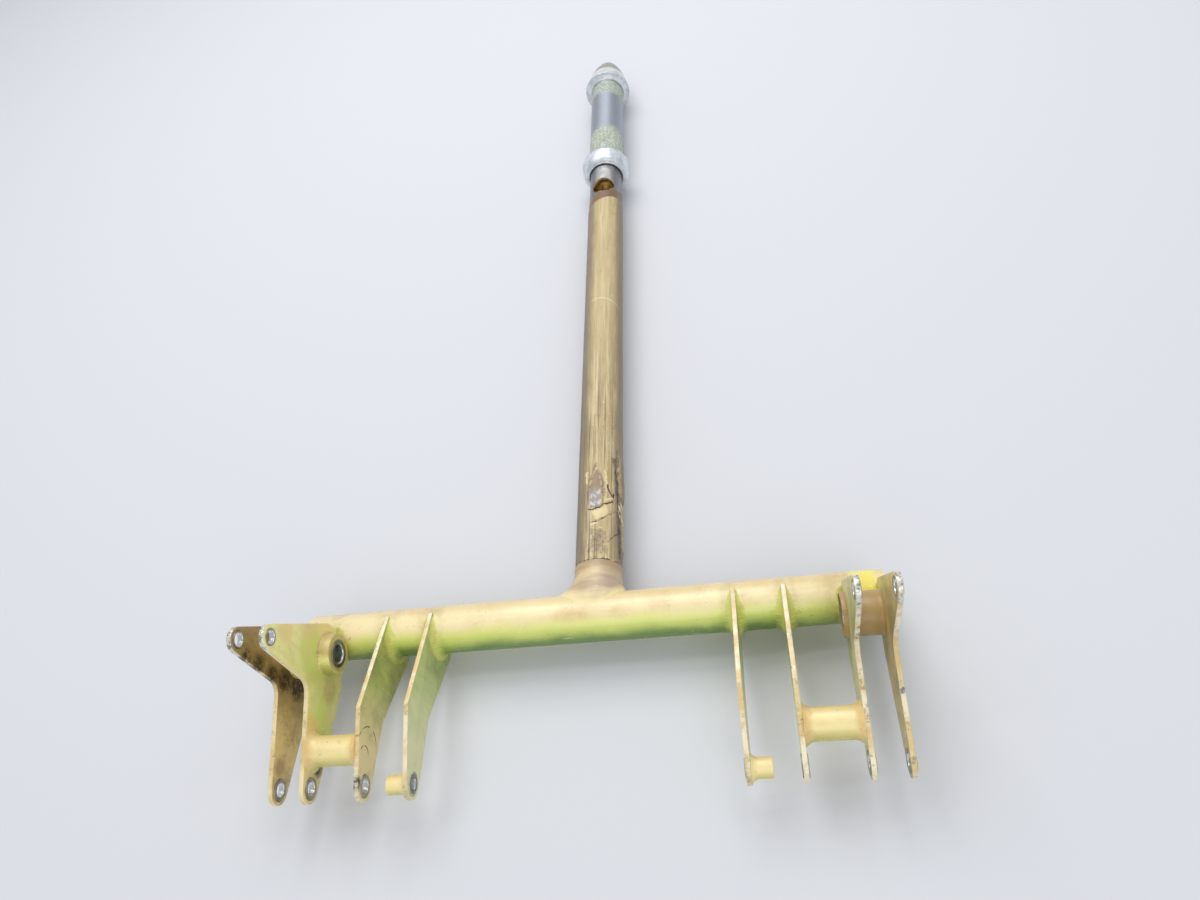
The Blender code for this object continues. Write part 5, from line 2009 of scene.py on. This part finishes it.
    def foot(self) -> None:
        """The weld at the lever's foot, swept out along the torque tube."""
        line = self.datum.at(0, 0, 0)
        top, seat = 27.7 * MM, 12.5 * MM
        wall = self.radius + 0.9 * MM
        count = 22
        stations = [self.datum.y + 1.0 * MM * k for k in range(count)]
        foot = BENCH.tube_grid("lever_foot_weld", wall, line, stations, 96)
        for vert in foot.data.vertices:
            share = (vert.co.y - stations[0]) / (stations[-1] - stations[0])
            arm = outward(vert.co, line)
            flare = 2.5 * MM if arm.x > 0 else 10.5 * MM
            swell = (1 - share) ** 4
            half_width = wall + flare * swell
            lump = 0.25 * MM * noise.noise(Vector((arm.x * 4, share * 3, arm.z * 4)))
            lump += 0.3 * MM * math.exp(-((share - 0.16) / 0.05) ** 2)
            lump += 0.2 * MM * math.exp(-((share - 0.34) / 0.06) ** 2)
            lump *= min(1.0, share * 12, (1 - share) * 6)
            low = max(-seat, min(seat, wall * arm.z))
            ease = min(1.0, share * 3)
            across = low + (wall * arm.z - low) * ease * ease * (3 - 2 * ease) + lump * arm.z
            base = math.sqrt(TUBE_RADIUS ** 2 - low ** 2) - 0.3 * MM
            place = base + (top - base) * share
            vert.co = line + Vector(((half_width + lump) * arm.x, place, across))
        BENCH.modifier(foot, "SOLIDIFY", thickness=0.8 * MM, offset=-1.0, use_even_offset=False)
        BENCH.smooth(foot, 60.0)
        fit(foot, WELDMENT, self.finishes.foot, ["lever_weld_collar"])


@dataclass
class SlidingGrip:
    """The turned grip, its nose, and the rod and stop that ride inside the lever."""

    datum: Datum
    finishes: Finishes
    bore: float = 12.7 * MM
    radius: float = 13.7 * MM
    bead: float = 19.2 * MM
    flange: float = 19.2 * MM
    length: float = 126.4 * MM
    bead_front: float = 11.6 * MM
    bead_back: float = 8.0 * MM
    flare: float = 3.6 * MM
    flange_edge: float = 1.8 * MM
    nose_length: float = 43.4 * MM

    def ease(self, start: Point, end: Point, radial_first: bool) -> list[Point]:
        """A quarter ellipse between two profile points.

        Args:
            start: The first point.
            end: The last point.
            radial_first: Whether the curve leaves the first point radially.

        Returns:
            The points after the first one, in order.
        """
        points, steps = [], 14
        for k in range(1, steps + 1):
            angle = math.pi / 2 * k / steps
            out, run = math.sin(angle), 1 - math.cos(angle)
            if not radial_first:
                out, run = run, out
            points.append((start[0] + (end[0] - start[0]) * out,
                           start[1] + (end[1] - start[1]) * run))
        return points

    def build(self) -> None:
        """Model the grip and the nose, and dress the parts inside."""
        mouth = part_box("grip_body")[0].y
        self.body(mouth)
        self.nose(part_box("grip_nose")[1].y)
        for node in ("grip_rod", "stop_washer", "stop_nut", "stop_pin"):
            dress(node, self.finishes.inner_brass)

    def body(self, mouth: float) -> None:
        """The beaded hand grip.

        Args:
            mouth: The place of the grip's open end on Y.
        """
        lip = self.bore + 1.6 * MM
        crest = self.bead_front
        back = crest + 1.0 * MM
        flare = self.length - self.flange_edge - self.flare
        edge = self.length - self.flange_edge
        spigot, depth = 11.3 * MM, 116.0 * MM
        shoulder = (lip + 0.5 * MM, 0.7 * MM)
        profile: list[Point] = [(self.bore, 0.9 * MM), (lip - 0.9 * MM, 0.0), (lip, 0.0),
                                (lip + 0.1 * MM, 0.7 * MM), shoulder]
        profile += self.ease(shoulder, (self.bead, crest), True)
        profile.append((self.bead, back))
        profile += self.ease((self.bead, back), (self.radius, back + self.bead_back), True)
        profile.append((self.radius, flare))
        profile += self.ease((self.radius, flare), (self.flange, edge), False)
        profile += [(self.flange, self.length - 0.8 * MM), (self.flange - 0.8 * MM, self.length)]
        profile += [(spigot, self.length), (spigot, depth), (self.bore, depth)]
        placed = [(radius, mouth + along) for radius, along in profile]
        body = BENCH.turned("grip_body_turned", placed, Axis.Y, self.datum.at(0, 0, 0), 128)
        BENCH.soften(body, 0.2 * MM)
        BENCH.smooth(body, 40.0)
        fit(body, GRIP, self.finishes.grip, ["grip_body"])

    def nose(self, tip: float) -> None:
        """The pointed nose with its turned groove.

        Args:
            tip: The place of the nose's tip on Y.
        """
        base = tip - self.nose_length
        spigot = base - 10.7 * MM

        def curve(along: float) -> float:
            """The nose's radius at a distance from its base."""
            share = (along / self.nose_length) ** 1.2
            return (self.flange - 0.5 * MM) * (1 - share) ** 0.6

        rod, stem, socket = 3.475 * MM, 11.0 * MM, 20 * MM
        profile: list[Point] = [(0.0, spigot + socket), (rod, spigot + socket)]
        profile += [(rod, spigot), (stem, spigot), (stem, base)]
        profile += [(curve(along * MM), base + along * MM)
                    for along in (0.0, 2.0, 4.0, 6.0, 8.0, 10.0)]
        near, groove, far = 11.2 * MM, 12.0 * MM, 12.8 * MM
        profile += [(curve(near), base + near), (curve(groove) - 0.8 * MM, base + groove),
                    (curve(far), base + far)]
        steps = 26
        for k in range(1, steps):
            share = 1 - (1 - k / steps) ** 2
            along = far + (self.nose_length - far) * share
            profile.append((curve(along), base + along))
        profile.append((0.0, tip))
        nose = BENCH.turned("grip_nose_turned", profile, Axis.Y, self.datum.at(0, 0, 0), 128, False)
        BENCH.smooth(nose, 30.0)
        fit(nose, GRIP, self.finishes.nose, ["grip_nose"])


@dataclass
class Setting:
    """The pale floor, the soft lights and the camera at the photographed angle."""

    datum: Datum
    lens: float = 25.4857
    eye: tuple[float, float, float] = (0.08970, -0.19899, 0.40238)
    turn: tuple[float, float, float] = (37.1002, 12.0069, 0.9092)
    floor_shade: Shade = Shade(214, 216, 220)
    floor_drop: float = 0.4 * MM
    sky: tuple[float, float, float, float] = (0.93, 0.95, 1.0, 1.0)
    sky_strength: float = 0.55

    def floor(self) -> None:
        """A plain floor that the lever lies on."""
        BENCH.rest()
        bpy.ops.mesh.primitive_plane_add(size=12.0, location=(0.0, 0.0, -self.floor_drop))
        floor = BENCH.name(bpy.context.active_object, "floor")
        bpy.ops.object.transform_apply(location=True, rotation=True, scale=True)
        graph = Graph("floor_finish")
        floor.data.materials.append(graph.surface(self.floor_shade, 0.85))
        floor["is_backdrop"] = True

    def softbox(self, name: str, place: Vector, aim: Vector, size: tuple[float, float],
                power: float) -> None:
        """One rectangular soft light aimed at a point.

        Args:
            name: The light's name.
            place: Where it stands.
            aim: The point that it faces.
            size: Its width and height.
            power: Its power in watts.
        """
        BENCH.rest()
        bpy.ops.object.light_add(type="AREA", location=place)
        lamp = BENCH.name(bpy.context.active_object, name)
        lamp.rotation_euler = (aim - place).to_track_quat("-Z", "Y").to_euler()
        lamp.data.shape = "RECTANGLE"
        lamp.data.size, lamp.data.size_y = size
        lamp.data.energy = power

    def lights(self) -> None:
        """An overhead softbox behind the lever and a wide fill in front of it."""
        aim = Vector((0.0, 0.0, 0.05))
        self.softbox("overhead_softbox", Vector((-0.15, 0.85, 1.35)), aim, (1.3, 0.9), 14.0)
        self.softbox("front_fill", Vector((0.3, -1.6, 1.2)), aim, (1.8, 1.2), 9.0)
        self.softbox("strip_light", Vector((-0.05, 0.08, 1.2)), Vector((0.0, -0.231, 0.02)),
                     (1.7, 0.09), 2.6)
        world = bpy.data.worlds.new("studio")
        bpy.context.scene.world = world
        world.use_nodes = True
        shade = world.node_tree.nodes["Background"]
        shade.inputs["Color"].default_value = self.sky
        shade.inputs["Strength"].default_value = self.sky_strength

    def camera(self) -> None:
        """The camera, placed from the datum."""
        BENCH.rest()
        bpy.ops.object.camera_add(location=self.datum.at(*self.eye),
                                  rotation=[math.radians(value) for value in self.turn])
        camera = BENCH.name(bpy.context.active_object, "photo_camera")
        camera.data.lens = self.lens
        camera.data.sensor_width = 36.0
        camera.data.clip_start = 0.01
        camera.data.clip_end = 50.0
        bpy.context.scene.camera = camera

    def build(self) -> None:
        """Set the stage."""
        self.floor()
        self.lights()
        self.camera()
        bpy.context.scene.view_settings.view_transform = "Standard"


def corners() -> list[list[float]]:
    """The shown object's lowest and highest corner as plain numbers."""
    return [list(corner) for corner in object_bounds()]


def main() -> None:
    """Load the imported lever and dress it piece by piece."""
    logging.basicConfig(level=logging.INFO, format="%(name)s: %(message)s")
    FRAME.update(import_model())
    datum = Datum.read()
    finishes = Finishes(datum)
    Setting(datum).build()
    for assembly in (TorqueTube, Plates, Pivots, TipHardware, Spacers, LeverArm, SlidingGrip):
        assembly(datum, finishes).build()
    BENCH.rest()


if __name__ == "__main__":
    main()
